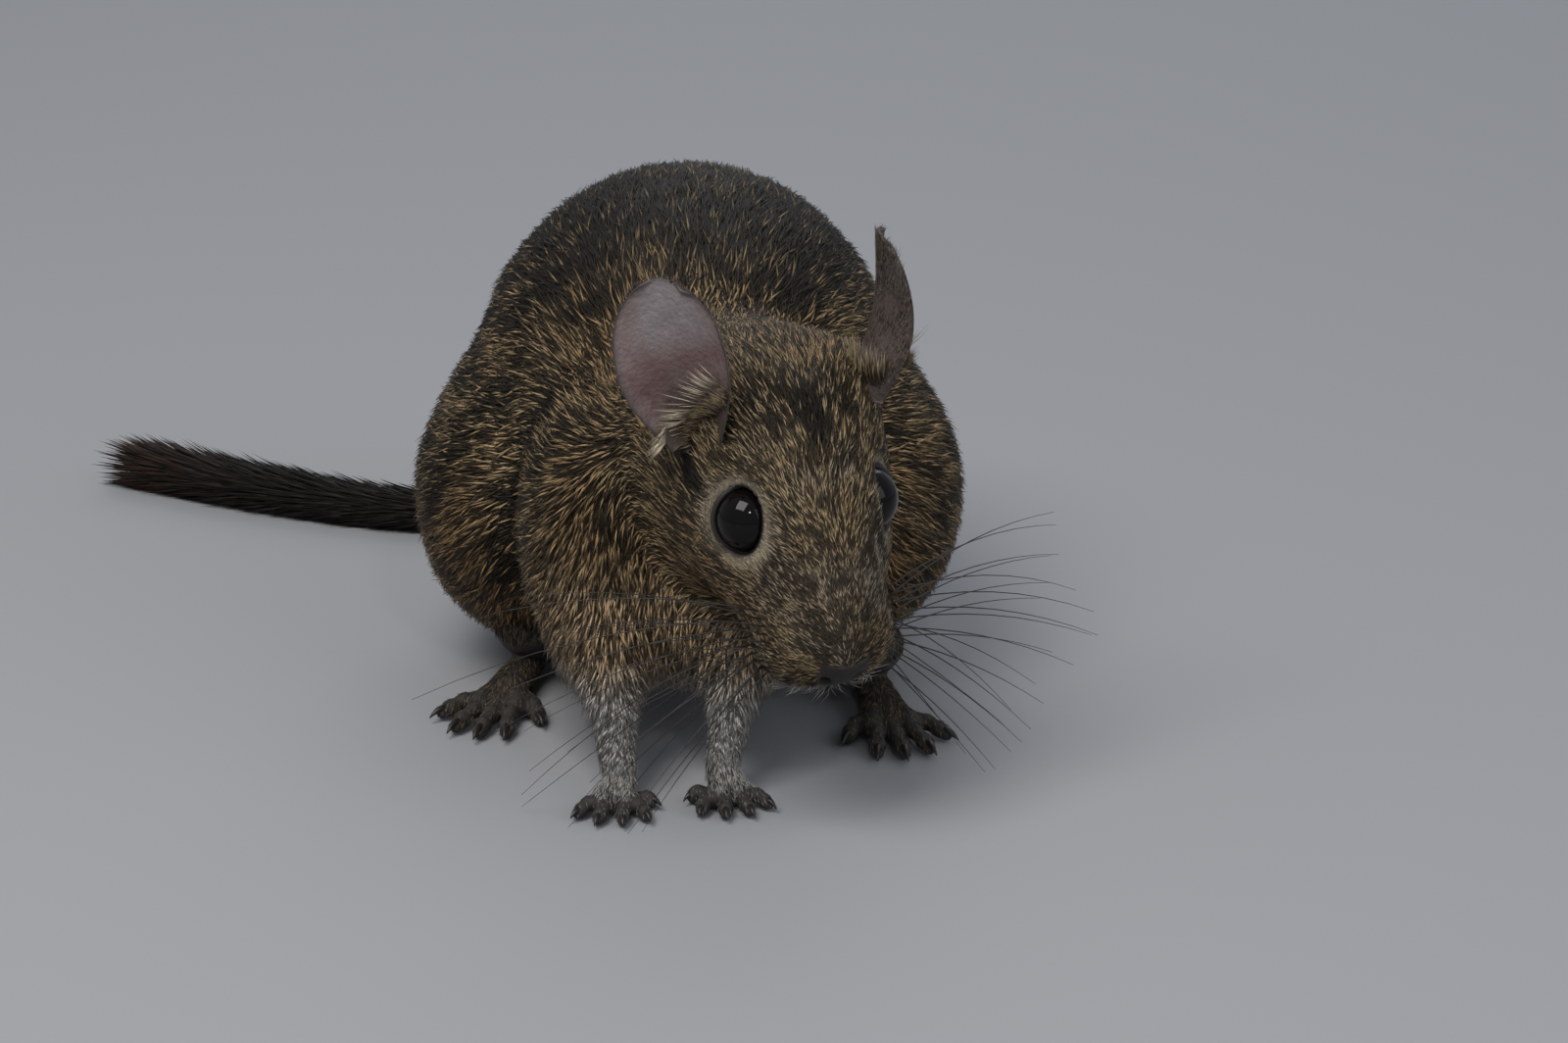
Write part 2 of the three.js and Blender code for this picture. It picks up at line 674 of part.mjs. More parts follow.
function foreleg(name) {
  const { wrist, elbow } = forepaws[name];
  const along = (share) => wrist.clone().lerp(elbow, share).toArray();
  const arm = limb(
    denser(
      [
        station(along(-0.05), 2.6, 2.4),
        station(along(0.12), 3.1, 2.9),
        station(along(0.4), 4.0, 3.9),
        station(along(0.75), 5.2, 5.2),
        station(along(1.1), 5.6, 5.8),
      ],
      6,
    ),
    12,
    vec(1, 0, 0),
  );
  return largest(arm.intersect(aboveWrist(name, 0)).subtract(wholeGrown));
}

const hindfeet = {
  right: { toes: vec(-29, -15, 0), facing: -14 },
  left: { toes: vec(30, -23, 0), facing: 10 },
};

function hindfoot(name) {
  const { toes: front, facing } = hindfeet[name];
  const side = sides[name];
  const way = heading(facing);
  const across = heading(facing + 90);
  const soleAt = (back, height) => front.clone().addScaledVector(way, -back).setZ(height);
  const wide = HINDFOOT.width / 2;
  const heelBack = HINDFOOT.length - HINDFOOT.toe - HINDFOOT.claw;
  const sole = limb(
    denser(
      [
        station(soleAt(heelBack, 3.0), 1.6, 1.8),
        station(soleAt(heelBack - 2, 2.8), 3.0, 3.4),
        station(soleAt(heelBack * 0.55, 2.8), 3.5, 3.6),
        station(soleAt(5, 2.4), wide * 0.92, 3.0),
        station(soleAt(1, 2.0), wide, 2.6),
        station(soleAt(-1.6, 1.5), wide * 0.82, 1.8),
      ],
      7,
    ),
    10,
    across,
  );
  const toes = [
    { place: -side * 0.46, share: 0.62, turn: -side * 30, back: 3.5 },
    { place: -side * 0.24, share: 0.95, turn: -side * 10, back: 0.4 },
    { place: 0, share: 1.0, turn: side * 2 },
    { place: side * 0.25, share: 0.95, turn: side * 14, back: 0.6 },
    { place: side * 0.46, share: 0.75, turn: side * 34, back: 3.0 },
  ];
  const fan = toeFan(soleAt(-0.4, 0), facing, HINDFOOT.width, toes, HINDFOOT);
  return largest(join([sole, ...fan]).subtract(belowFloor).subtract(wholeGrown));
}

// Tail: laid along the floor to the right and back, in three lengths, the last two in a brush
const tailPath = new THREE.CatmullRomCurve3(
  [
    vec(-3, 50, 18),
    vec(-6, 60, 12),
    vec(-15, 65.5, 6),
    vec(-29, 66.5, 3.4),
    vec(-48, 69, 3.1),
    vec(-71, 78, 3.1),
    vec(-94, 90, 3.3),
  ],
  false,
  'centripetal',
);
const tailRadius = (share) => mix(TAIL.rootRadius, TAIL.tipRadius, share ** 0.8);

function tailLength(from, to, steps, fur) {
  const stations = Array.from({ length: steps + 1 }, (_, i) => {
    const share = mix(from, to, i / steps);
    return station(tailPath.getPoint(share), tailRadius(share) + fur(share));
  });
  return limb(stations, 10, vec(0, 0, 1)).subtract(belowFloor);
}

const gapShare = GAP / tailPath.getLength();
const furDepth = (share) => TAIL.brush * THREE.MathUtils.smoothstep(share, 0.3, 1.0);
const BRUSH_FROM = 0.72;

// A flat tapered lock that leaves the tail at a low angle and bends back along it.
function lock(root, way, out, length, width) {
  const shares = [0, 0.5, 1];
  const stations = shares.map((share) => {
    const lift = length * (0.3 * share - 0.1 * share * share);
    const at = root.clone().addScaledVector(way, length * share).addScaledVector(out, lift);
    return station(at, (width / 2) * mix(1, 0.3, share ** 2), mix(0.45, 0.2, share));
  });
  return limb(stations, 4, way.clone().cross(out));
}

// Rows of locks round the end of the tail, each row between those of the row before.
function brushLocks() {
  const locks = [];
  for (let row = 0; row < TAIL.rows; row++) {
    const share = mix(BRUSH_FROM + 0.02, 0.97, row / (TAIL.rows - 1));
    const way = tailPath.getTangent(share);
    const level = way.clone().cross(vec(0, 0, 1)).normalize();
    const high = level.clone().cross(way);
    const radius = tailRadius(share) + 0.5 * furDepth(share) - 0.5;
    for (let k = 0; k < TAIL.perRow; k++) {
      const turn = (2 * Math.PI * (k + (row % 2) / 2)) / TAIL.perRow;
      const out = level.clone().multiplyScalar(Math.cos(turn)).addScaledVector(high, Math.sin(turn));
      const root = tailPath.getPoint(share).addScaledVector(out, radius);
      locks.push(lock(root, way, out, TAIL.lock * (0.9 + 0.1 * Math.cos(k * 2.3 + row)), TAIL.lockWidth));
    }
  }
  return locks;
}

const tailBase = () => largest(tailLength(0, 0.44, 9, furDepth).subtract(wholeGrown));
const tailMiddle = () => largest(tailLength(0.44 + gapShare, BRUSH_FROM, 7, furDepth));

function tailTip() {
  const core = tailLength(BRUSH_FROM + gapShare, 1, 6, (share) => 0.5 * furDepth(share));
  return largest(join([core, ...brushLocks()]).subtract(belowFloor));
}

// Assembly
const colours = {
  coat: [0x4a3f2c, 0.9],
  ear: [0x6b5650, 0.7],
  eye: [0x0b0807, 0.08],
  leg: [0x8d8880, 0.9],
  foot: [0x35302c, 0.7],
  tail: [0x141416, 0.85],
};

const part = new THREE.Group();

function addNode(name, solid, kind) {
  const [color, roughness] = colours[kind];
  const material = new THREE.MeshStandardMaterial({ color, roughness, metalness: 0 });
  const mesh = new THREE.Mesh(geometryOf(solid), material);
  mesh.name = name;
  part.add(mesh);
}

addNode('muzzle', muzzle(), 'coat');
addNode('head', head(), 'coat');
addNode('neck', neck(), 'coat');
addNode('torso', torso(), 'coat');
for (const [name, side] of Object.entries(sides)) {
  addNode(`eye_${name}`, eyeball(side), 'eye');
  addNode(`ear_${name}`, ear(side), 'ear');
  addNode(`haunch_${name}`, haunch(side), 'coat');
  addNode(`foreleg_${name}`, foreleg(name), 'leg');
  addNode(`forepaw_${name}`, forepaw(name), 'foot');
  addNode(`hindfoot_${name}`, hindfoot(name), 'foot');
}
addNode('tail_base', tailBase(), 'tail');
addNode('tail_middle', tailMiddle(), 'tail');
addNode('tail_tip', tailTip(), 'tail');

part.position.set(-CENTRE[0], -CENTRE[1], 0);

export default part;
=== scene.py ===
import itertools
import math

import bpy
import numpy as np
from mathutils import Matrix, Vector


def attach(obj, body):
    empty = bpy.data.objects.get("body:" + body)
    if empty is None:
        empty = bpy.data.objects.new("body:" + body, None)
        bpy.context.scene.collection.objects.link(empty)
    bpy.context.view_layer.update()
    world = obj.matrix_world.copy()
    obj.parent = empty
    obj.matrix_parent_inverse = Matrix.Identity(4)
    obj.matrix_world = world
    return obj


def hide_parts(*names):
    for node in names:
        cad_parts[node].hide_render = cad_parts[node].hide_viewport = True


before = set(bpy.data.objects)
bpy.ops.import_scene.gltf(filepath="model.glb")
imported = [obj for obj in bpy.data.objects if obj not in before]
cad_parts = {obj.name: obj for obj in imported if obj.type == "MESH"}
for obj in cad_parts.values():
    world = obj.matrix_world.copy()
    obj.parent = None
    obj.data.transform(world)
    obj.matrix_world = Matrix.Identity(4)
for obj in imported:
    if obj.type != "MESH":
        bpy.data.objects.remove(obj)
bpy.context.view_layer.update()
rng = np.random.default_rng(20)

# The same numbers as the solids
CENTRE = np.array([-21.235, 12.491, 0.0])
BODY_HALF_WIDTH = 42
BACK_HEIGHT = 76
BODY_LENGTH = 92
HEAD_AT = np.array([17.0, -49, 46.9])
YAW, PITCH, ROLL = 24, 45, 2
HEAD_LENGTH = 50
EYE_RADIUS, EYE_OPENING = 4.6, 4.2
EYE_FORWARD, EYE_SIDE, EYE_UP = 1.0, 9.0, -0.1
HINDFOOT_LENGTH = 36
EAR_LONG, EAR_HALF, EAR_CUP = 21.5, 9.2, 3.6
SIDE = {"right": -1, "left": 1}

# Numbers of the looks, in mm; the grain is the smallest cell of the body's grid
FAR = 1e3
GRAIN = 0.6
NECK_BLEND = 12
EYE_WIDTH, EYE_SLANT = 1.12, 0.16
LINE_DEPTH = 0.5
MOUTH_AT = np.array([18, 0, -12])
TAIL_STEPS, TAIL_ROOT_RADIUS, TAIL_TIP_RADIUS = 60, 3.0, 1.3
STRIPE_EVERY = 8.6
BODY_HAIR, HEAD_HAIR, SHORTER_AT_NOSE = 5.6, 3.4, 1.8
BENT_IN_PIECE, STRAIGHT_IN_PIECE = 19500, 48000
BRUSH_HAIRS = 10000
PATCH = 0.003
MUZZLE_WHISKERS, BROW_WHISKERS = 22, 3
UP = np.array([0, 0, 1.0])

# The photo's camera: its lens and distance in mm, degrees above the floor and the place it looks at
LENS = 116.64
CAMERA_DISTANCE = 720
LOOK_DOWN = 20
CAMERA_TARGET = np.array([14, -45, 42.5])


def unit(v):
    return v / np.maximum(np.linalg.norm(v, axis=-1, keepdims=True), 1e-9)


def directions(yaw, pitch, roll=0):
    y, p, r = np.radians([yaw, pitch, roll])
    f = np.array([np.sin(y) * np.cos(p), -np.cos(y) * np.cos(p), -np.sin(p)])
    level = np.array([np.cos(y), np.sin(y), 0])
    left = level * np.cos(r) + np.cross(f, level) * np.sin(r)
    return np.array([f, left, np.cross(f, left)])


HEAD = directions(YAW, PITCH, ROLL)
BODY = directions(0, 0)


def in_head(f, l, u):
    return HEAD_AT + np.array([f, l, u], float) @ HEAD


def head_way(f, l, u):
    return unit(np.array([f, l, u], float) @ HEAD)


# The body's surface, as in the solids
def trunk_masses():
    hip = BODY_HALF_WIDTH - 19
    out = [
        ((-1, 17, BACK_HEIGHT - 33.5), (BODY_LENGTH / 2 - 2, 33, 33.5), 8, BODY),
        ((0, 10, 27), (40, 29, 21), 8, BODY),
        ((2, -17, 34), (22, 24, 24), 9, BODY),
        ((-1, -25, 22), (13, 17, 11), 8, BODY),
        ((8, -27, 50), (17, 18, 17), 10, BODY),
    ]
    for side in (-1, 1):
        out.append(((side * hip - 0.5, 15, 27), (29, 19, 23.5), 7, directions(side * 10, -8)))
        out.append(((side * 14 + 1, -22, 31), (14, 11, 18), 8, BODY))
        out.append(((side * 9.5 - 2.5, -30, 19), (8, 7.5, 9.5), 6, BODY))
    return out


def head_masses():
    def place(f, l, u, size, blend, tilt=0):
        return (in_head(f, l, u), size, blend, directions(YAW, PITCH + tilt, ROLL))

    out = [
        place(-8, 0, 0, (16.5, 13.5, 11.5), 6),
        place(7, 0, -1.5, (16, 9.3, 9.3), 6, 14),
        place(HEAD_LENGTH / 2 - 7.5, 0, -7.5, (7.6, 6.4, 6.2), 5),
        place(4, 0, -12.5, (14, 8.5, 7), 6),
        place(16, 0, -14.5, (6, 4.6, 4.2), 3),
    ]
    for side in (-1, 1):
        out.append(place(15.5, side * 5, -9, (7.5, 5.8, 6.2), 3.5))
        out.append(place(-2.5, side * 8, -8, (13.5, 6.9, 9), 6))
        out.append(place(-0.5, side * 6.2, 2.4, (7.5, 4.3, 4.4), 4))
        out.append(place(-15.5, side * 8.5, 3.6, (6, 4.2, 4.4), 5))
    return out


TRUNK, SKULL = trunk_masses(), head_masses()


def outside_mass(p, m):
    at, size, _, axes = m
    v = ((p - np.asarray(at, float)) @ axes.T) / np.asarray(size, float)
    k = np.sqrt((v * v).sum(-1))
    steep = np.sqrt(((v / np.asarray(size, float)) ** 2).sum(-1))
    return np.where(steep < 1e-6, -min(size), k * (k - 1) / np.maximum(steep, 1e-6))


def soft_union(a, b, blend):
    h = np.maximum(blend - np.abs(a - b), 0) / blend
    return np.minimum(a, b) - h * h * blend / 4


def soft_cut(a, b, blend):
    return -soft_union(-a, b, blend)


def outside_all(p, masses):
    d = np.full(p.shape[:-1], FAR)
    for m in masses:
        d = soft_union(d, outside_mass(p, m), m[2])
    return d


def outside_head(p):
    d = outside_all(p, SKULL)
    for side in (-1, 1):
        orbit = (in_head(EYE_FORWARD + 1.4, side * (EYE_SIDE + 4.2), EYE_UP + 3.1), (5.6, 3.8, 5), 2.6, HEAD)
        d = soft_cut(d, outside_mass(p, orbit), 2.6)
    return d


def outside_body(p):
    return soft_union(outside_all(p, TRUNK), outside_head(p), NECK_BLEND)


# Smooth shares from 0 to 1
def step(x, low, high):
    """0 at low, 1 at high."""
    t = np.clip((x - low) / (high - low), 0, 1)
    return t * t * (3 - 2 * t)


def fall(x, start, end):
    """1 at start, 0 at end."""
    return 1 - step(x, start, end)


def head_place(p):
    return (p - HEAD_AT) @ HEAD.T


def on_head(p):
    """0 on the trunk, 1 on the head, by distance from the head's masses."""
    return fall(outside_all(p, SKULL), 0, 11)


# How deep the coat lies over the skin, in mm
def coat_depth(p):
    h = head_place(p)
    front = step(h[..., 0], 2, 20)
    head = on_head(p)
    low = step(p[..., 2], 4, 22)
    body = 1.2 + 0.7 * low
    return body * (1 - head) + (0.85 - 0.4 * front) * head


# Meshes of surfaces: one point to each crossed cell
def settle(p, field, turns=3):
    h = 0.02
    for _ in range(turns):
        v = field(p)
        g = np.stack([field(p + np.eye(3)[i] * h) - v for i in range(3)], -1) / h
        p = p - g * (v / np.maximum((g * g).sum(-1), 0.2))[:, None]
    return p


def slope(p, field, h=0.05):
    return unit(np.stack([field(p + np.eye(3)[i] * h) - field(p - np.eye(3)[i] * h) for i in range(3)], -1))


def crossings(values, lines, n):
    """The mean of the places where each cell's edges cross the surface, and how many do."""
    total = np.zeros((*n, 3), np.float32)
    count = np.zeros(n, np.float32)
    corner = lambda o: values[o[0] : o[0] + n[0], o[1] : o[1] + n[1], o[2] : o[2] + n[2]]
    for axis, a, b in itertools.product(range(3), (0, 1), (0, 1)):
        o = [a, b]
        o.insert(axis, 0)
        e = list(o)
        e[axis] = 1
        u, v = corner(o), corner(e)
        crossed = (u < 0) != (v < 0)
        idx = np.nonzero(crossed)
        s = np.where(crossed, u / np.where(u == v, 1, u - v), 0)[idx]
        spot = [lines[k][idx[k] + o[k]] for k in range(3)]
        spot[axis] = spot[axis] + s * (lines[axis][idx[axis] + 1] - lines[axis][idx[axis]])
        for k in range(3):
            total[idx[0], idx[1], idx[2], k] += spot[k]
        count[idx] += 1
    return total, count


def crossed_quads(inside, ids, n):
    """A quad across each grid edge that runs from the inside to the outside."""
    quads = []
    grid = np.eye(3, dtype=int)
    for axis in range(3):
        b, c = [(1, 2), (2, 0), (0, 1)][axis]
        low = [slice(1, n[k]) for k in range(3)]
        low[axis] = slice(0, n[axis])
        high = list(low)
        high[axis] = slice(1, n[axis] + 1)
        here, there = inside[tuple(low)], inside[tuple(high)]
        at = np.argwhere(here != there)
        flip = there[tuple(at.T)]
        at = at + 1 - grid[axis]
        pick = lambda db, dc: ids[tuple((at - grid[b] * db - grid[c] * dc).T)]
        q = np.stack([pick(0, 0), pick(1, 0), pick(1, 1), pick(0, 1)], 1)
        q[flip] = q[flip][:, ::-1]
        quads.append(q)
    quads = np.concatenate(quads)
    return quads[(quads >= 0).all(1)]


def surface(field, xs, ys, zs):
    """Points and quads of a field's zero surface on a grid."""
    values = np.empty((len(xs), len(ys), len(zs)), np.float32)
    for i, x in enumerate(xs):
        gy, gz = np.meshgrid(ys, zs, indexing="ij")
        values[i] = field(np.stack([np.full_like(gy, x), gy, gz], -1))
    for axis in range(3):
        for end in (0, -1):
            face = np.moveaxis(values, axis, 0)
            face[end] = np.maximum(face[end], 0.2)
    n = np.array(values.shape) - 1
    total, count = crossings(values, [np.asarray(v, np.float32) for v in (xs, ys, zs)], n)
    used = np.nonzero(count)
    ids = np.full(n, -1, np.int64)
    ids[used] = np.arange(len(used[0]))
    points = (total[used] / count[used][:, None]).astype(float)
    return points, crossed_quads(values < 0, ids, n)


def spaced(low, high, coarse, fine=0, fine_from=0, fine_to=0):
    """Places from low to past high, closer together over one stretch."""
    out = [low]
    while out[-1] < high:
        near = fine and fine_from <= out[-1] < fine_to
        out.append(out[-1] + (fine if near else coarse))
    return np.array(out)


# Meshes into Blender
def mesh_object(name, points, faces, material):
    """points in mm in the sums' frame; faces an (n, k) array or a list of such arrays."""
    faces = [faces] if isinstance(faces, np.ndarray) else faces
    me = bpy.data.meshes.new(name)
    corners = np.concatenate([f.ravel() for f in faces])
    sizes = np.concatenate([np.full(len(f), f.shape[1]) for f in faces])
    starts = np.concatenate([[0], np.cumsum(sizes)[:-1]])
    me.vertices.add(len(points))
    me.vertices.foreach_set("co", ((points - CENTRE) / 1000).astype(np.float32).ravel())
    me.loops.add(len(corners))
    me.loops.foreach_set("vertex_index", corners.astype(np.int32))
    me.polygons.add(len(sizes))
    me.polygons.foreach_set("loop_start", starts.astype(np.int32))
    me.update(calc_edges=True)
    me.polygons.foreach_set("use_smooth", np.ones(len(sizes), bool))
    me.materials.append(material)
    obj = bpy.data.objects.new(name, me)
    bpy.context.scene.collection.objects.link(obj)
    return obj


def joined(parts):
    """Points and faces of several meshes as those of one."""
    offset, points, faces = 0, [], []
    for pts, own in parts:
        points.append(pts)
        faces += [f + offset for f in own]
        offset += len(pts)
    return np.concatenate(points), faces


def colour_points(obj, colours):
    attribute = obj.data.color_attributes.new("Tint", "FLOAT_COLOR", "POINT")
    rgba = np.concatenate([colours, np.ones((len(colours), 1))], 1).astype(np.float32)
    attribute.data.foreach_set("color", rgba.ravel())


# Smooth random fields for the markings
HASH = np.array([73856093, 19349663, 83492791])


def value_noise(p, size, seed=0):
    """From -1 to 1, blended between random numbers at the corners of cells of this size in mm."""
    q = np.asarray(p, float) / size
    cell = np.floor(q).astype(np.int64)
    f = q - cell
    f = f * f * (3 - 2 * f)
    out = np.zeros(q.shape[:-1])
    for corner in itertools.product((0, 1), repeat=3):
        h = (cell + corner) * HASH
        h = h[..., 0] ^ h[..., 1] ^ h[..., 2] ^ (seed * 2654435761)
        h = (h ^ (h >> 13)) * 1274126177
        value = ((h ^ (h >> 16)) & 0xFFFF) / 65535.0
        w = [f[..., k] if far else 1 - f[..., k] for k, far in enumerate(corner)]
        out += value * (w[0] * w[1]) * w[2]
    return out * 2 - 1


def blend3(a, b, t):
    return a + (b - a) * np.asarray(t)[..., None]


# Colours, linear
BLACK = np.array([0.012, 0.010, 0.008])
DARK = np.array([0.035, 0.027, 0.019])
BROWN = np.array([0.085, 0.061, 0.036])
TAN = np.array([0.30, 0.215, 0.115])
OCHRE = np.array([0.27, 0.165, 0.075])
CREAM = np.array([0.55, 0.47, 0.34])
GREY = np.array([0.20, 0.185, 0.165])
PALE = np.array([0.42, 0.40, 0.37])
FOOT = np.array([0.045, 0.038, 0.034])
NOSE_SKIN = np.array([0.016, 0.012, 0.011])
LID_SKIN = np.array([0.03, 0.022, 0.02])
LIP_SKIN = np.array([0.05, 0.03, 0.028])
CHEST = np.array([0.46, 0.33, 0.20])
EAR_PINK = np.array([0.165, 0.118, 0.112])
EAR_BACK = np.array([0.075, 0.056, 0.048])
EAR_BACK_TIP = np.array([0.05, 0.038, 0.033])
EAR_DOWN = np.array([0.10, 0.08, 0.065])
BRUSH_TIP = np.array([0.10, 0.045, 0.025])


def everywhere(colour, p):
    return np.broadcast_to(np.asarray(colour), p.shape)


def trunk_markings(p):
    """A black-brown back, flanks barred with broken dark stripes, rusty below."""
    x, y, z = p[..., 0], p[..., 1], p[..., 2]
    side = np.abs(x + 1)
    back = step(z, 50, 70) * step(y, -22, 2) * (1 - 0.8 * step(side, 16, 36))
    low = fall(z, 14, 38)
    wave = y + 4.0 * value_noise(p, 17, 3) + 0.12 * (z - 30) - 0.10 * side + 0.8 * value_noise(p, 5, 4)
    stripe = step(0.5 + 0.5 * np.sin(wave * 2 * np.pi / STRIPE_EVERY), 0.3, 0.8)
    broken = np.clip(0.62 + value_noise(p, 7, 5), 0, 1)
    stripe = stripe * broken * step(z, 8, 24) * step(side, 6, 18) * step(y, -34, -20)
    fleck = 0.30 * value_noise(p * [1, 0.6, 1], 2.0, 16)
    chest = fall(y, -38, -24) * fall(z, 24, 38)
    share = 0.66 + fleck - 0.48 * back - 0.54 * stripe + 0.15 * low + 0.25 * chest
    rust = np.clip(0.35 + 0.5 * value_noise(p, 9, 17) + 0.7 * low, 0, 1)
    band = blend3(everywhere(TAN, p), OCHRE, rust) * (1 - 0.45 * back)[..., None]
    band = blend3(band, CHEST, 0.75 * chest)
    tip = blend3(everywhere(DARK, p), BLACK, np.clip(back + stripe + 0.3, 0, 1))
    root = everywhere(BROWN, p) * (0.75 - 0.35 * np.clip(back + stripe, 0, 1) + 0.8 * chest)[..., None]
    return root, band, tip, share


def head_patches(h):
    """How much of each patch of the head's pattern shows at places on the head, by its name."""
    f, l, u = h[..., 0], h[..., 1], h[..., 2]
    side = np.abs(l)
    eyes = [np.array([EYE_FORWARD, s * EYE_SIDE, EYE_UP]) for s in (-1, 1)]
    eye = np.minimum(*[np.linalg.norm((h - at) * [0.92, 0.75, 1], axis=-1) for at in eyes])
    lash = fall(np.abs(u + 1.5 + 0.3 * (f + 6)), 0.7, 2.0) * step(-f, 3.0, 4.6)
    return dict(
        crown=step(-f, 3, 12) * fall(side, 4, 10) * step(u, 0, 6),
        streak=step(-f, -1, 6) * fall(np.abs(l - 1.5 - 0.15 * f), 0.8, 2.6) * step(u, 3, 7),
        temple=step(side, 6, 9.5) * step(-f, 3, 8) * step(u, -3, 3),
        bridge=step(f, 6, 15) * fall(side, 2.5, 6) * step(u, -6, 0),
        ring=fall(eye, 5.0, 7.6) * (0.40 + 0.6 * step(f + 1.2 * u, -2.0, 3.5)),
        lash=lash * fall(-f, 9, 13) * step(side, 7, 10),
        cheek=step(-u, 1, 7) * step(side, 5, 9) * fall(f, 9, 16),
        pad=step(f, 12, 18) * step(side, 3, 6),
        chin=step(-u, 11.0, 14) * step(f, 6, 13),
    )


def head_markings(p, h):
    """Brown with grey in it, a dark crown with a black streak, a pale ring round the eye."""
    m = head_patches(h)
    ring, chin, cheek = m["ring"], m["chin"], m["cheek"]
    patch = value_noise(p, 4.5, 18)
    grey = np.clip(0.22 + 0.45 * patch - 0.3 * cheek - 0.5 * step(-h[..., 0], 12, 20), 0, 0.6)
    share = 0.46 + 0.40 * value_noise(p, 1.6, 7) - 0.30 * m["crown"] - 0.45 * m["streak"] - 0.14 * m["bridge"]
    share = share + 0.10 * cheek + 0.14 * m["temple"] + 0.12 * m["pad"] - 0.65 * m["lash"]
    share = share + 0.45 * ring + 0.45 * chin
    dark = np.clip(m["crown"] + m["streak"] + m["lash"], 0, 1)
    band = blend3(everywhere(TAN * 1.1, p), GREY * 1.4, grey)
    band = blend3(band, OCHRE, 0.55 * cheek * np.clip(0.5 + patch, 0, 1))
    band = blend3(blend3(band, TAN * 1.15, 0.7 * m["temple"]), CREAM * 0.85, ring)
    tip = blend3(blend3(everywhere(DARK, p), BLACK, dark), CREAM * 0.6, ring * 0.9)
    root = blend3(everywhere(BROWN, p) * (0.6 - 0.35 * dark)[..., None], CREAM * 0.45, ring)
    return blend3(root, GREY, chin), blend3(band, PALE, chin), blend3(tip, PALE * 0.9, chin * 0.8), share


def markings(p):
    """For places on the animal: hair root colour, band colour, tip colour, and how much band shows."""
    h = head_place(p)
    head = on_head(p) * (1 - 0.85 * step(-h[..., 0], 9, 18) * step(h[..., 2], -6, 2))
    *body_colours, body_share = trunk_markings(p)
    *head_colours, its_share = head_markings(p, h)
    near, far = head[..., None], 1 - head[..., None]
    root, band, tip = [a * far + b * near for a, b in zip(body_colours, head_colours)]
    share = body_share * (1 - head) + its_share * head
    # Legs: pale grey
    leg = fall(p[..., 2], 11, 20) * fall(p[..., 1], -30, -24)
    leg = leg * fall(outside_all(p, SKULL), 9, 4)
    root = blend3(root, PALE * 0.55, leg)
    band = blend3(band, PALE * 1.1, leg)
    tip = blend3(tip, GREY * 1.1, leg)
    return root, band, tip, np.clip(share + 0.4 * leg, 0.02, 0.98)


def skin_colour(p):
    root, band, tip, share = markings(p)
    return blend3(blend3(root, tip, 0.5), band, share * 0.28)


# Materials
def material(name, build, roughness=0.7):
    m = bpy.data.materials.new(name)
    m.use_nodes = True
    tree = m.node_tree
    shader = tree.nodes["Principled BSDF"]
    shader.inputs["Roughness"].default_value = roughness
    build(tree, shader)
    return m


def tinted(tree, shader, bump=0.0, size=900.0, dark=0.25):
    """The points' own colours, broken up by fine noise, with a little relief."""

    def node(kind, **values):
        made = tree.nodes.new("ShaderNode" + kind)
        for key, value in values.items():
            made.inputs[key.replace("_", " ")].default_value = value
        return made

    join = tree.links.new
    colour = node("Attribute")
    colour.attribute_name = "Tint"
    if not bump:
        join(colour.outputs["Color"], shader.inputs["Base Color"])
        return
    noise = node("TexNoise", Scale=size, Detail=4)
    join(node("TexCoord").outputs["Object"], noise.inputs["Vector"])
    ramp = node("MapRange", To_Min=1 - dark, To_Max=1 + dark)
    join(noise.outputs["Fac"], ramp.inputs["Value"])
    scale = node("VectorMath")
    scale.operation = "SCALE"
    join(colour.outputs["Color"], scale.inputs[0])
    join(ramp.outputs["Result"], scale.inputs["Scale"])
    join(scale.outputs["Vector"], shader.inputs["Base Color"])
    relief = node("Bump", Strength=bump, Distance=0.0004)
    join(noise.outputs["Fac"], relief.inputs["Height"])
    join(relief.outputs["Normal"], shader.inputs["Normal"])


def dull_fur(tree, shader):
    tinted(tree, shader)
    shader.inputs["Specular IOR Level"].default_value = 0.22


skin_material = material("skin", lambda t, s: tinted(t, s, bump=0.5), 0.75)
fur_material = material("fur", dull_fur, 0.6)
bare_material = material("bare_skin", lambda t, s: tinted(t, s, bump=0.6, size=1600), 0.6)


def plain(colour, coat=0.0, specular=0.5):
    def build(tree, shader):
        shader.inputs["Base Color"].default_value = (*colour, 1)
        shader.inputs["Coat Weight"].default_value = coat
        shader.inputs["Specular IOR Level"].default_value = specular

    return build


eye_material = material("eye", plain((0.004, 0.003, 0.003), 0.0, 0.22), 0.03)
claw_material = material("claw", plain((0.018, 0.014, 0.012)), 0.35)
whisker_material = material("whisker", plain((0.02, 0.016, 0.014)), 0.4)
lid_material = material("lid", plain((0.02, 0.015, 0.013)), 0.45)

pieces = []


def keep(obj, replaces=()):
    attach(obj, "root")
    if replaces:
        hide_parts(*replaces)
    pieces.append(obj)
    return obj


# Limbs: capsules softly joined, on finer grids of their own
def capsule(p, a, b, ra, rb):
    a, b = np.asarray(a, float), np.asarray(b, float)
    ab = b - a
    t = np.clip(((p - a) @ ab) / (ab @ ab), 0, 1)
    return np.linalg.norm(p - a - t[..., None] * ab, axis=-1) - (ra + (rb - ra) * t)


def heading(degrees):
    return np.array([math.sin(math.radians(degrees)), -math.cos(math.radians(degrees)), 0])


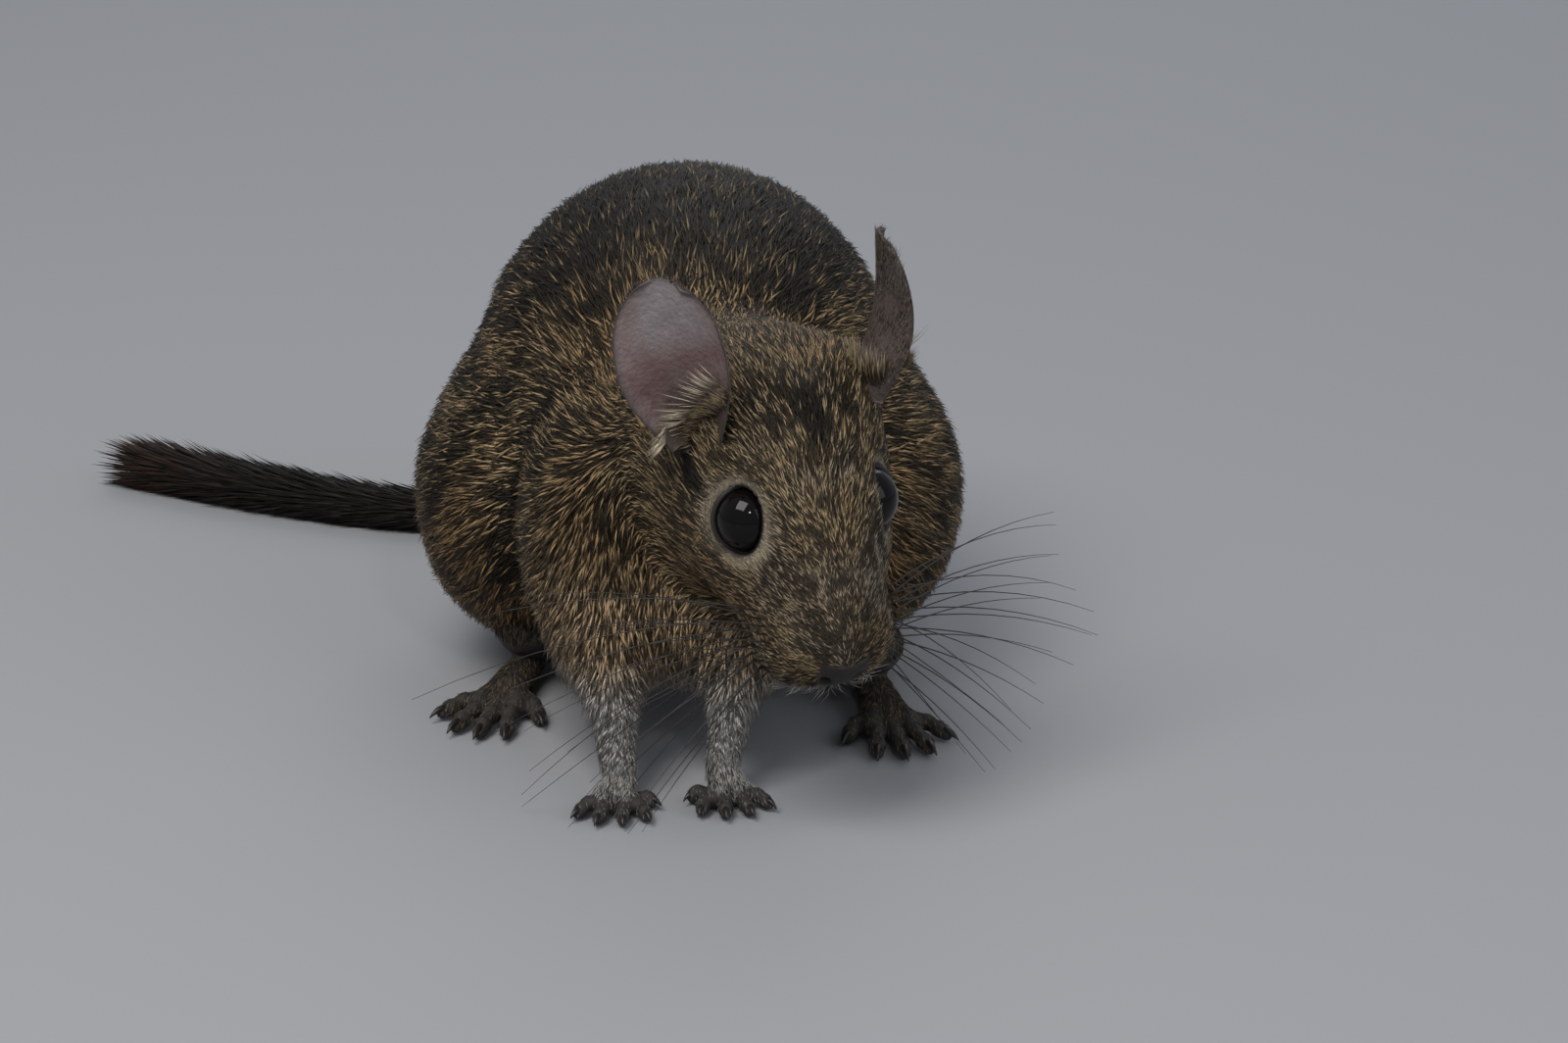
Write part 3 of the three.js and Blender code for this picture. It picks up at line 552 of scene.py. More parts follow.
ARMS = {
    "right": dict(wrist=(-9.8, -46.5, 5.4), facing=-6, elbow=(-12.3, -30, 24)),
    "left": dict(wrist=(5.2, -44, 5.4), facing=14, elbow=(8.3, -29.5, 24)),
}
FEET = {
    "right": dict(toes=(-29, -15, 0), facing=-14),
    "left": dict(toes=(30, -23, 0), facing=10),
}


def arms(p):
    d = np.full(p.shape[:-1], FAR)
    for arm in ARMS.values():
        w, e = np.array(arm["wrist"]), np.array(arm["elbow"])
        d = np.minimum(d, capsule(p, w + (w - e) * 0.05, e + (e - w) * 0.1, 1.9, 4.6))
    return d


def reach_out(start, way, field):
    """Where the surface lies from a point inside it, along one direction."""
    at = lambda r: field((start + way * r)[None])[0]
    far = 1.0
    while at(far) < 0 and far < 120:
        far += 1
    near = far - 1
    for _ in range(14):
        mid = (near + far) / 2
        near, far = (mid, far) if at(mid) < 0 else (near, mid)
    return start + way * near


def on_muzzle(forward, height, left, up, field=None):
    return reach_out(in_head(forward, 0, height), head_way(0, left, up), field or outside_head)


def eye_axes(side):
    """Towards the nose, up and out, for the eye of one side."""
    out = head_way(0.35, side * 0.75, 0.56)
    front = head_way(1, -side * 0.2, -0.36)
    high = unit(np.cross(front, out)) * -side
    ahead = unit(np.cross(high, out)) * -side
    return np.array([ahead, high, out])


EYES = {
    name: (in_head(EYE_FORWARD, side * EYE_SIDE, EYE_UP), eye_axes(side)) for name, side in SIDE.items()
}


def slit(theta):
    """The edge of the lids, in mm towards the nose and up from the middle of the eye."""
    x = EYE_WIDTH * EYE_OPENING * np.cos(theta)
    y = EYE_OPENING * (1.0 * np.sin(theta) - EYE_SLANT * np.cos(theta))
    return x, y


def in_slit(p):
    """Below 0 inside the opening of either eye."""
    d = np.full(p.shape[:-1], FAR)
    for at, axes in EYES.values():
        q = (p - at) @ axes.T
        x, y = q[..., 0], q[..., 1] + EYE_SLANT * q[..., 0] / EYE_WIDTH
        k = np.sqrt((x / EYE_WIDTH) ** 2 + y**2) - EYE_OPENING
        d = np.minimum(d, np.maximum(k, -q[..., 2]))
    return d


def just_inside(p):
    return outside_head(p) + LINE_DEPTH


mouth_line = [
    on_muzzle(21 - abs(t) ** 1.6 * 8, -9, t * 1.5, -1.15, just_inside) for t in np.linspace(-1, 1, 9)
]
cleft_line = [on_muzzle(21.3 + 2.6 * t, -9, 0.001, -1, just_inside) for t in (0, 0.5, 1)]


def near_lines(p, radius):
    d = np.full(p.shape[:-1], FAR)
    for line, r in ((mouth_line, radius), (cleft_line, radius * 0.7)):
        for a, b in zip(line, line[1:]):
            d = np.minimum(d, capsule(p, a, b, r, r))
    return d


def skin_field(p):
    d = outside_body(p) + coat_depth(p)
    d = soft_union(d, arms(p), 4)
    lids = np.full(p.shape[:-1], FAR)
    for at, _ in EYES.values():
        lids = np.minimum(lids, np.linalg.norm(p - at, axis=-1) - EYE_RADIUS - 0.75)
    d = soft_union(d, lids, 1.2)
    d = soft_cut(d, in_slit(p), 0.3)
    for side in (-1, 1):
        axes = directions(YAW + side * 40, PITCH - 10, ROLL)
        nostril = (in_head(HEAD_LENGTH / 2 - 0.9, side * 2.4, -7.6), (2.2, 0.7, 1.0), 0.6, axes)
        d = soft_cut(d, outside_mass(p, nostril), 0.8)
    near = np.abs(head_place(p) - MOUTH_AT).max(-1) < 14
    if near.any():
        d[near] = soft_cut(d[near], near_lines(p[near], 0.35), 0.9)
    return d


xs = spaced(-47, 47, GRAIN * 2.0, GRAIN, 0, 34)
ys = spaced(-70, 66, GRAIN * 2.0, GRAIN, -68, -30)
zs = spaced(1, 80, GRAIN * 2.0, GRAIN, 17, 70)
body_points, body_quads = surface(skin_field, xs, ys, zs)
body_points = settle(body_points, skin_field, 2)


# Feet: palms and toes on grids of their own, run up inside the leg
def forepaw(name):
    """Capsules of the palm, the toes (place across, share of length, turn, set-back) and sizes."""
    side, arm = SIDE[name], ARMS[name]
    w, e = np.array(arm["wrist"]), np.array(arm["elbow"])
    way, across = heading(arm["facing"]), heading(arm["facing"] + 90)
    at = lambda along, z: np.array([*(w + way * along)[:2], z])
    toes = [(-0.4, 0.82, -26, 0.8), (-0.14, 1.0, -8, 0), (0.14, 1.0, 8, 0), (0.4, 0.82, 26, 0.8)]
    toes.append((-side * 0.44, 0.35, -side * 62, 3.4))
    caps = [(w + (e - w) * 0.35, w, 3.0, 2.1), (w, at(3.0, 2.3), 2.1, 2.0)]
    caps += [(at(0.8, 3.6), at(4.6, 1.8) + across * s * 2.3, 1.9, 1.5) for s in (-1, 1)]
    return caps, toes, dict(front=at(4.9, 0), facing=arm["facing"], width=8.5, long=4.6, half=1.1, claw=2.1)


def hindfoot(name):
    """The same for a hind foot, whose sole runs back from the toes to the heel."""
    side, foot = SIDE[name], FEET[name]
    t, facing = np.array(foot["toes"], float), foot["facing"]
    way, across = heading(facing), heading(facing + 90)
    at = lambda back, z: np.array([*(t - way * back)[:2], z])
    toes = [(-side * 0.46, 0.62, -side * 30, 3.5), (-side * 0.24, 0.95, -side * 10, 0.4)]
    toes += [(0, 1.0, side * 2, 0), (side * 0.25, 0.95, side * 14, 0.6), (side * 0.46, 0.75, side * 34, 3.0)]
    long, claw = 8.6, 3.2
    heel = HINDFOOT_LENGTH - long - claw
    caps = [(at(heel - 3, 3.0), at(6, 2.7), 2.5, 2.5)]
    caps += [(at(9, 2.8), at(0.5, 2.0) + across * s * 2.9, 2.2, 1.7) for s in (-1, 0, 1)]
    caps.append((at(heel - 4, 3.4), at(heel - 9, 9), 2.6, 4.5))
    return caps, toes, dict(front=at(-0.4, 0), facing=facing, width=9.5, long=long, half=1.35, claw=claw)


# A toe's three bones: where each starts and ends along the toe, how high, and its radii, as shares
TOE_BONES = [
    ((-0.35, 1.2), (0.3, 1.55), (0.8, 0.85)),
    ((0.3, 1.55), (0.72, 1.25), (0.78, 0.8)),
    ((0.72, 1.25), (0.95, 0.95), (0.84, 0.7)),
]


def foot_parts(name, fore):
    """All the capsules of one foot, and its claws: base, way ahead, length and thickness."""
    caps, toes, foot = forepaw(name) if fore else hindfoot(name)
    way, across = heading(foot["facing"]), heading(foot["facing"] + 90)
    half, claws = foot["half"], []
    for place, share, turn, back_by in toes:
        root = foot["front"] + across * place * foot["width"] - way * back_by
        ahead = heading(foot["facing"] + turn)
        length = foot["long"] * share
        at = lambda s, z: root * [1, 1, 0] + ahead * length * s + np.array([0, 0, half * z])
        for start, end, (r1, r2) in TOE_BONES:
            caps.append((at(*start), at(*end), half * r1, half * r2))
        claws.append((at(0.86, 1.25), ahead, foot["claw"] * (0.75 + 0.25 * share), half))
    return caps, claws


foot_meshes, all_claws = [], []


def claw_distance(p):
    """How far a place lies from the nearest claw's foot, in mm."""
    return np.min([np.linalg.norm(p - base, axis=-1) for base, *_ in all_claws], axis=0)


def foot_mesh(caps):
    def foot_field(p):
        d = np.full(p.shape[:-1], FAR)
        for a, b, ra, rb in caps:
            d = soft_union(d, capsule(p, a, b, ra, rb), 0.7)
        return np.maximum(d, 0.12 - p[..., 2])

    ends = np.array([q for a, b, _, _ in caps for q in (a, b)])
    cell = 0.36
    box = [spaced(ends[:, i].min() - 5, ends[:, i].max() + 5, cell) for i in range(3)]
    box[2] = spaced(-0.5, ends[:, 2].max() + 5, cell)
    return *surface(foot_field, *box), foot_field


for name in SIDE:
    for fore in (True, False):
        caps, claws = foot_parts(name, fore)
        all_claws += claws
        pts, quads, foot_field = foot_mesh(caps)
        foot_meshes.append((pts, quads, fore, foot_field))


# The tail's core
def along_curve(points, t):
    """A centripetal Catmull-Rom curve through points, t from 0 to 1."""
    pts = [np.array(q, float) for q in points]
    n = len(pts)
    s = t * (n - 1)
    i = min(int(s), n - 2)
    w = s - i
    p1, p2 = pts[i], pts[i + 1]
    p0 = pts[i - 1] if i > 0 else 2 * pts[0] - pts[1]
    p3 = pts[i + 2] if i + 2 < n else 2 * pts[-1] - pts[-2]
    d0, d1, d2 = (max(np.linalg.norm(b - a) ** 0.5, 1e-4) for a, b in ((p0, p1), (p1, p2), (p2, p3)))
    m1 = ((p1 - p0) / d0 - (p2 - p0) / (d0 + d1) + (p2 - p1) / d1) * d1
    m2 = ((p2 - p1) / d1 - (p3 - p1) / (d1 + d2) + (p3 - p2) / d2) * d1
    return (
        p1 + m1 * w + (-3 * p1 + 3 * p2 - 2 * m1 - m2) * w**2 + (2 * p1 - 2 * p2 + m1 + m2) * w**3
    )


TAIL = [
    (-3, 50, 18),
    (-6, 60, 12),
    (-15, 65.5, 6),
    (-29, 66.5, 3.4),
    (-48, 69, 3.1),
    (-71, 78, 3.1),
    (-94, 90, 3.3),
]
tail_line = np.array([along_curve(TAIL, t) for t in np.linspace(0, 1, TAIL_STEPS)])
tail_way = unit(np.gradient(tail_line, axis=0))


def bands(rows, around, closed=False):
    """Quads between rings of points that follow one another, and back to the first where closed."""
    k = np.arange(around)
    turn = (k + 1) % around
    quads = []
    for i in range(rows if closed else rows - 1):
        here, there = i * around, (i + 1) % rows * around
        quads.append(np.stack([here + k, here + turn, there + turn, there + k], 1))
    return np.concatenate(quads)


def rings(line, out, high, radii, sides):
    """Points of a circle round each point of a line."""
    a = np.linspace(0, 2 * np.pi, sides, endpoint=False)
    ring = np.cos(a)[None, :, None] * out[:, None] + np.sin(a)[None, :, None] * high[:, None]
    return (line[:, None] + ring * radii[:, None, None]).reshape(-1, 3)


def tube(line, radii, sides=12):
    """A closed tube along a line of points."""
    way = unit(np.gradient(line, axis=0))
    level = unit(np.cross(way, UP + way[::-1] * 1e-3))
    pts = rings(line, level, np.cross(level, way), radii, sides)
    k = np.arange(sides)
    caps = [k[::-1][None], ((len(line) - 1) * sides + k)[None]]
    return pts, [bands(len(line), sides), *caps]


tail_share = np.linspace(0, 1, TAIL_STEPS) ** 0.8
tail_radii = TAIL_ROOT_RADIUS * (1 - tail_share) + TAIL_TIP_RADIUS * tail_share
tail_mesh = tube(tail_line, tail_radii, 16)


# One skin of all these, coloured as the coat is
def on_nose_pad(h):
    low, high = step(h[:, 2], -11.5, -10.3), step(h[:, 2], -4.6, -3.4)
    return step(h[:, 0], 21.4, 23.0) * fall(np.abs(h[:, 1]), 3.2, 4.6) * low * (1 - high)


def body_tint(pts):
    """The coat's colour, with bare dark skin on the nose, round the eyes and along the mouth."""
    c = skin_colour(pts)
    h = head_place(pts)
    c = blend3(c, NOSE_SKIN, on_nose_pad(h))
    c = blend3(c, LID_SKIN, fall(in_slit(pts), 0, 1))
    return blend3(c, LIP_SKIN, fall(near_lines(pts, 0.2), 0.2, 0.7) * (h[:, 0] > 5))


def foot_tint(pts, fore):
    toes_dark = fall(claw_distance(pts), 3.4, 6.0) if fore else fall(pts[:, 2], 6, 12)
    return blend3(everywhere(PALE * 0.55, pts), FOOT * 0.7, toes_dark)


sets = [(body_points, [body_quads])] + [(p, [q]) for p, q, _, _ in foot_meshes] + [tail_mesh]
tints = [body_tint(body_points)] + [foot_tint(p, fore) for p, _, fore, _ in foot_meshes]
tints.append(everywhere(BLACK, tail_mesh[0]))
skin_points, skin_faces = joined(sets)
skin = mesh_object("skin", skin_points, skin_faces, skin_material)
colour_points(skin, np.concatenate(tints))
keep(skin, [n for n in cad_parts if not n.startswith(("eye", "ear"))])

# The skin's unwrap, which the coat's patches sit on
layer = skin.data.uv_layers.new(name="OFBake")
bpy.context.view_layer.objects.active = skin
skin.select_set(True)
bpy.ops.object.mode_set(mode="EDIT")
bpy.ops.mesh.select_all(action="SELECT")
bpy.ops.uv.smart_project(angle_limit=math.radians(66), island_margin=0.001)
bpy.ops.object.mode_set(mode="OBJECT")
skin.select_set(False)


# Eyes with the wet rim of the lids
def sphere(at, size, axes, around=48, high=32):
    """A ball with its poles along the third axis."""
    t = np.linspace(0, np.pi, high + 1)[1:-1]
    a = np.linspace(0, 2 * np.pi, around, endpoint=False)
    flat = np.outer(np.sin(t), np.cos(a)), np.outer(np.sin(t), np.sin(a))
    ring = np.stack([*flat, np.outer(np.cos(t), np.ones(around))], -1)
    pts = np.concatenate([ring.reshape(-1, 3), [[0, 0, 1], [0, 0, -1]]]) * size
    n, k = high - 1, np.arange(around)
    turn, last = (k + 1) % around, (n - 1) * around
    top = np.stack([np.full(around, n * around), k, turn], 1)
    low = np.stack([np.full(around, n * around + 1), last + turn, last + k], 1)
    return at + pts @ axes, [bands(n, around)[:, [0, 3, 2, 1]], top, low]


def closed_tube(line, radius, sides=8):
    """A ring-shaped tube along a closed line of points."""
    way = unit(np.roll(line, -1, 0) - np.roll(line, 1, 0))
    high = unit(np.cross(way, unit(line - line.mean(0))))
    radii = np.full(len(line), radius)
    return rings(line, np.cross(high, way), high, radii, sides), bands(len(line), sides, closed=True)


for name, (at, axes) in EYES.items():
    pts, faces = sphere(at, EYE_RADIUS, axes)
    keep(mesh_object(f"eyeball_{name}", pts, faces, eye_material), [f"eye_{name}"])
    x, y = slit(np.linspace(0, 2 * np.pi, 72, endpoint=False))
    z = np.sqrt(np.maximum((EYE_RADIUS + 0.28) ** 2 - x * x - y * y, 0.5))
    pts, quads = closed_tube(at + np.stack([x, y, z], 1) @ axes, 0.42)
    keep(mesh_object(f"lid_{name}", pts, quads, lid_material))


# Ears: a thin cup, bare inside, from the same sizes as the solids
EARS = {
    "right": dict(root=(-13.5, -13, 3.6), along=(-0.73, -0.24, 0.64), opening=(0.45, -0.62, 0.64)),
    "left": dict(root=(-15.5, 10.5, 5.6), along=(-0.73, 0.35, 0.59), opening=(0.3, 0.95, -0.05)),
}


def ear_frame(name):
    side = SIDE[name]
    along, opening = head_way(*EARS[name]["along"]), head_way(*EARS[name]["opening"])
    across = unit(np.cross(opening, along)) * side
    return along, across, unit(np.cross(along, across)) * side


def ear_width(s):
    low = 0.6 + 0.4 * np.sin(np.clip(s / 0.46, -1, 1) * np.pi / 2)
    high = np.sqrt(np.maximum(1 - np.maximum((s - 0.46) / (1.004 - 0.46), 0) ** 2.7, 0))
    return np.where(s < 0.46, low, high)


def ear_point(name, s, v):
    along, across, opening = ear_frame(name)
    root = in_head(*EARS[name]["root"])
    width = EAR_HALF * ear_width(s)
    cup = EAR_CUP * (1.25 - 0.75 * s) * v * v + 1.6 * np.sin(s * np.pi) - 2.2 * s * s
    lean = np.where(v > 0, -1.8 * s * v, 0)
    return (
        root
        + along * (EAR_LONG * s + lean)[..., None]
        + across * (width * v * (1 - 0.12 * v * v))[..., None]
        + opening * cup[..., None]
    )


def ear_sheet(name, s, v):
    """Places on the ear's middle surface and which way its inside faces."""
    e = 0.004
    p = ear_point(name, s, v)
    du = ear_point(name, np.minimum(s + e, 0.985), v) - ear_point(name, s - e, v)
    dv = ear_point(name, s, v + e) - ear_point(name, s, v - e)
    n = unit(np.cross(du, dv))
    _, _, opening = ear_frame(name)
    return p, n * np.sign((n * opening).sum(-1, keepdims=True))


def ear_colours(p, s, v):
    """Inside: bare pinkish skin, with a painted greyish-blue sheen towards the tip and painted shade in its
    depth; outside: brown.
    """
    # Painted shade: the hollow of the cup darkens in its middle towards its foot
    hollow_shade = fall(s, 0.05, 0.45) * fall(np.abs(v), 0.1, 0.8)
    vein = np.exp(-((value_noise(p, 3.4, 9) / 0.13) ** 2)) * fall(s, 0.35, 0.8)
    rim = step(np.abs(v), 0.86, 0.99) + step(s, 0.93, 0.98)
    layers = [
        # Painted sheen: pale bluish light laid over the upper middle of the inside
        ((0.17, 0.145, 0.15), step(s, 0.45, 0.7) * fall(np.abs(v - 0.1), 0.4, 0.9)),
        ((0.10, 0.055, 0.05), 0.6 * np.exp(-(((s - 0.42 - 0.12 * v) / 0.09) ** 2))),
        ((0.11, 0.055, 0.05), np.clip(0.65 * vein, 0, 1)),
        # Painted shade over the hollow of the cup
        ((0.045, 0.028, 0.026), hollow_shade * 0.85),
        ((0.06, 0.048, 0.045), np.clip(rim, 0, 1) * 0.6),
        ((0.05, 0.036, 0.026), 0.9 * fall(s, -0.02, 0.12)),
    ]
    inside = everywhere(EAR_PINK, p)
    for colour, share in layers:
        inside = blend3(inside, np.array(colour), share)
    inside = inside * (1 + 0.10 * value_noise(p, 1.1, 10))[..., None]
    outside = blend3(everywhere(EAR_BACK, p), EAR_BACK_TIP, step(s, 0.3, 0.9))
    return np.concatenate([inside.reshape(-1, 3), outside.reshape(-1, 3)])


def sheet_faces(rows, cols, flip):
    """Two grids of points, inner then outer, joined round their edges."""
    w, total, last = cols + 1, (rows + 1) * (cols + 1), rows * (cols + 1)
    i, j = np.meshgrid(np.arange(rows), np.arange(cols), indexing="ij")
    a = (i * w + j).ravel()
    front = np.stack([a, a + 1, a + w + 1, a + w], 1)
    back = front[:, ::-1] + total
    r, c = np.arange(rows) * w, np.arange(cols)
    edges = [(r + w, r), (r + cols, r + w + cols), (c, c + 1), (last + c + 1, last + c)]
    strips = [np.stack([q, t, t + total, q + total], 1) for q, t in edges]
    return [f[:, ::-1] if flip else f for f in (front, back, *strips)]


def ear_cup(name, rows=60, cols=48):
    s = -0.12 + 1.1 * (1 - (1 - np.linspace(0, 1, rows + 1)) ** 1.35)
    s, v = np.meshgrid(np.minimum(s, 0.98), np.linspace(-1, 1, cols + 1), indexing="ij")
    p, n = ear_sheet(name, s, v)
    half = (0.32 - 0.12 * s) * np.sqrt(np.clip(1 - np.abs(v) ** 12, 0.1, 1))
    ripple = 0.14 * value_noise(p, 2.6, 8)
    inner, outer = p + n * (half + ripple)[..., None], p - n * (half - ripple)[..., None]
    pts = np.concatenate([inner.reshape(-1, 3), outer.reshape(-1, 3)])
    obj = mesh_object(f"ear_cup_{name}", pts, sheet_faces(rows, cols, SIDE[name] < 0), bare_material)
    colour_points(obj, ear_colours(p, s, v))
    keep(obj, [f"ear_{name}"])


for name in SIDE:
    ear_cup(name)


# Claws: dark, curved, tapering
def claw(base, ahead, length, half):
    t = np.linspace(0, 1, 7)
    rise = 0.45 * np.sin(t * 2.6) - 0.75 * t * t * (base[2] / 1.5)
    line = base - ahead * 0.4 + ahead * (t * (length + 0.5))[:, None] + UP * rise[:, None]
    line[:, 2] = np.maximum(line[:, 2], 0.16 + 0.4 * half * (1 - t) ** 0.8)
    return tube(line, half * 0.5 * (1 - t**1.6) + 0.07, 8)


keep(mesh_object("claws", *joined([claw(*one) for one in all_claws]), claw_material))


# The coat: each hair is a closed three-sided spike, straight or with one bend
FOOTING = ((-0.5, 0.0), (0.5, 0.0), (0.0, 0.55))
STRAIGHT_TRIS = [[0, 2, 1], [0, 1, 3], [1, 2, 3], [2, 0, 3]]
STRAIGHT_SPOTS = [[0, 0], [1, 0], [0.5, 0.3], [0.5, 1]]
BENT_TRIS = [[0, 2, 1], [0, 1, 4], [0, 4, 3], [1, 2, 5], [1, 5, 4], [2, 0, 3], [2, 3, 5]]
BENT_TRIS += [[3, 4, 6], [4, 5, 6], [5, 3, 6]]
BENT_SPOTS = [[0, 0], [1, 0], [0.5, 0.3], [0, 0.6], [1, 0.6], [0.5, 0.8], [0.5, 1]]


def spikes(name, pts, tris, spots, tints, uv):
    """Hairs as one mesh, from each one's points, triangles, tints and spots on its patch."""
    n, each = pts.shape[:2]
    pts[..., 2] = np.maximum(pts[..., 2], 0.12 + 0.12 * (np.arange(each) % 3)[None])
    faces = ((np.arange(n) * each)[:, None, None] + np.array(tris)[None]).reshape(-1, 3)
    obj = mesh_object(name, pts.reshape(-1, 3), faces, fur_material)
    colour_points(obj, np.stack(tints, 1).reshape(-1, 3))
    patch = (uv[:, None] + (np.array(spots) - 0.5)[None] * PATCH).reshape(-1, 2)
    layer = obj.data.uv_layers.new(name="OFBake")
    inside = np.clip(patch[faces.ravel()], 0.0005, 0.9995)
    layer.data.foreach_set("uv", inside.astype(np.float32).ravel())
    return keep(obj)


def raised(way, normal, lift):
    return way * np.cos(lift)[:, None] + normal * np.sin(lift)[:, None]


def straight_hairs(name, root, way, normal, length, width, lift, colours, uv, slot):
    """A triangle on the skin and a tip. Colours are two (n, 3), the rest is as for hairs."""
    side = unit(np.cross(normal, way))
    along = raised(way, normal, np.radians(lift))
    up = unit(np.cross(along, side))
    w = width[:, None]
    start = root - along * 0.25
    pts = np.empty((len(root), 4, 3))
    for k, (s, u) in enumerate(FOOTING):
        pts[:, k] = start + side * w * s - up * w * u
    pts[:, 3] = start + along * length[:, None]
    tints = [colours[0]] * 3 + [colours[1]]
    return spikes(name, pts, STRAIGHT_TRIS, STRAIGHT_SPOTS, tints, uv)


def hairs(name, root, way, normal, length, width, lift, colours, uv, slot, bend=0.35):
    """root, way and normal are (n, 3); length, width and lift (degrees) (n,); colours three (n, 3)."""
    side = unit(np.cross(normal, way))
    d1 = raised(way, normal, np.radians(lift))
    d2 = raised(way, normal, np.radians(lift * bend))
    up = unit(np.cross(d1, side))
    w, half = width[:, None], (length * 0.5)[:, None]
    start = root - d1 * 0.25
    mid = start + d1 * half
    pts = np.empty((len(root), 7, 3))
    for k, (s, u) in enumerate(FOOTING):
        pts[:, k] = start + side * w * s * 0.8 - up * w * u * 0.8
        pts[:, 3 + k] = mid + side * w * s - up * w * u
    pts[:, 6] = mid + d2 * half
    tints = [colours[0]] * 3 + [colours[1]] * 3 + [colours[2]]
    return spikes(name, pts, BENT_TRIS, BENT_SPOTS, tints, uv)


# Triangles of the skin, with their place on the unwrap
def read(rows, what, size, kind):
    out = np.empty(len(rows) * size, kind)
    rows.foreach_get(what, out)
    return out.reshape(-1, size)


skin.data.calc_loop_triangles()
tri_verts = read(skin.data.loop_triangles, "vertices", 3, np.int32)
tri_loops = read(skin.data.loop_triangles, "loops", 3, np.int32)
tri_uv = read(skin.data.uv_layers["OFBake"].data, "uv", 2, np.float32)[tri_loops].astype(float)
tri_count = len(tri_verts)
tri_points = skin_points[tri_verts]
tri_mid = tri_points.mean(1)
tri_edges = tri_points[:, 1:] - tri_points[:, :1]
tri_area = 0.5 * np.linalg.norm(np.cross(tri_edges[:, 0], tri_edges[:, 1]), axis=1)
tri_set = np.searchsorted(np.cumsum([len(q) for q, _ in sets]), tri_verts[:, 0], side="right")


def scatter(density, which):
    """Random places on the skin, density a square mm, on the chosen triangles: place, uv."""
    picks = np.repeat(np.arange(tri_count), rng.poisson(tri_area * density * which))
    a, b = rng.random(len(picks)), rng.random(len(picks))
    over = a + b > 1
    a[over], b[over] = 1 - a[over], 1 - b[over]
    w = np.stack([1 - a - b, a, b], 1)[:, :, None]
    return (tri_points[picks] * w).sum(1), (tri_uv[picks] * w).sum(1)


def along_skin(d, n):
    return unit(d - n * (d * n).sum(-1, keepdims=True))


def lie(p):
    """Which way the coat runs: back along the head and trunk, down on the flanks and legs."""
    h = head_place(p)
    head = on_head(p)[..., None]
    x, y, z = p[..., 0], p[..., 1], p[..., 2]
    flank = step(np.abs(x + 1), 8, 38)
    chest = fall(y, -38, -22)
    down = -0.75 * flank - 0.9 * step(y, 30, 58) - chest * fall(z, 44, 62)
    trunk = np.stack([0.30 * np.sign(x + 1) * flank, 1 - 0.8 * chest, down], -1)
    back = -HEAD[0] + HEAD[1] * (0.45 * np.clip(h[..., 1] / 10, -1, 1))[..., None]
    back = back - HEAD[2] * (0.35 * step(-h[..., 2], 0, 8))[..., None]
    leg = (fall(z, 10, 20) * fall(y, -26, -18))[..., None]
    trunk = trunk * (1 - leg) + np.array([0, -0.25, -1.0]) * leg
    return unit(trunk * (1 - head) + back * head)


def legs(p, head):
    return fall(p[:, 2], 9, 19) * fall(p[:, 1], -26, -18) * (1 - head)


def hair_roots(density):
    """Places for the body's hairs, off the eyes, the nose pad and the line of the mouth."""
    p, uv = scatter(density, tri_set == 0)
    h = head_place(p)
    half = 3.6 - 0.25 * np.clip(-7 - h[:, 2], 0, 9)
    nose = (h[:, 0] > 22.2) & (np.abs(h[:, 1]) < half) & (h[:, 2] > -10.8) & (h[:, 2] < -4.0)
    good = (in_slit(p) > 0.4) & ~nose & (near_lines(p, 0.2) > 0.35)
    return p[good], uv[good]


def hair_ways(p, n, spread):
    """The lie of the coat, turned a little by place and by chance, in degrees."""
    d = lie(p)
    across = np.cross(n, d)
    d = d + (0.20 * value_noise(p, 5, 11) + 0.16 * value_noise(p, 1.7, 14))[:, None] * across
    d = d + rng.normal(0, math.tan(math.radians(spread)), (len(p), 1)) * across
    return along_skin(d, n)


def hair_sizes(p, head, bent):
    """Length and width in mm, lift in degrees: least at the nose and round the eyes."""
    front = step(head_place(p)[:, 0], -4, 18)
    eye = np.minimum(*[np.linalg.norm(p - at, axis=1) for at, _ in EYES.values()])
    near_eye = fall(eye, 5.2, 9.0)
    leg = legs(p, head)
    length = BODY_HAIR * (1 - head) + (HEAD_HAIR - SHORTER_AT_NOSE * front) * head
    length = length * (1 - 0.5 * near_eye) * (1 - 0.55 * leg)
    length = length * rng.uniform(0.75, 1.2, len(p)) * (1.0 if bent else 0.8)
    length = np.minimum(length, 0.25 + 0.95 * np.maximum(in_slit(p), 0.3))
    width = 0.25 * (1 - head) + (0.18 - 0.05 * front) * head
    width = width * (1 - 0.3 * leg) * (1 - 0.3 * near_eye)
    lift = 18 - 3 * head - 6 * near_eye + rng.normal(0, 3.5, len(p))
    return length, width, lift * (1 + 0.15 * value_noise(p, 4, 12))


def hair_colours(p, root, band, tip, share):
    """Root, middle and end of each hair: some show their pale band, the others only dark."""
    banded = (rng.random(len(p)) < np.clip(share + 0.35 * value_noise(p, 0.9, 15), 0, 1))[:, None]
    vary = rng.uniform(0.72, 1.3, (len(p), 1))
    mid = np.where(banded, band * 1.25 * vary, blend3(tip, root, 0.5) * vary)
    end = np.where(banded, blend3(band, tip, rng.choice([0.3, 0.8, 1.0], len(p))) * vary, tip)
    return root * 0.6, mid, end


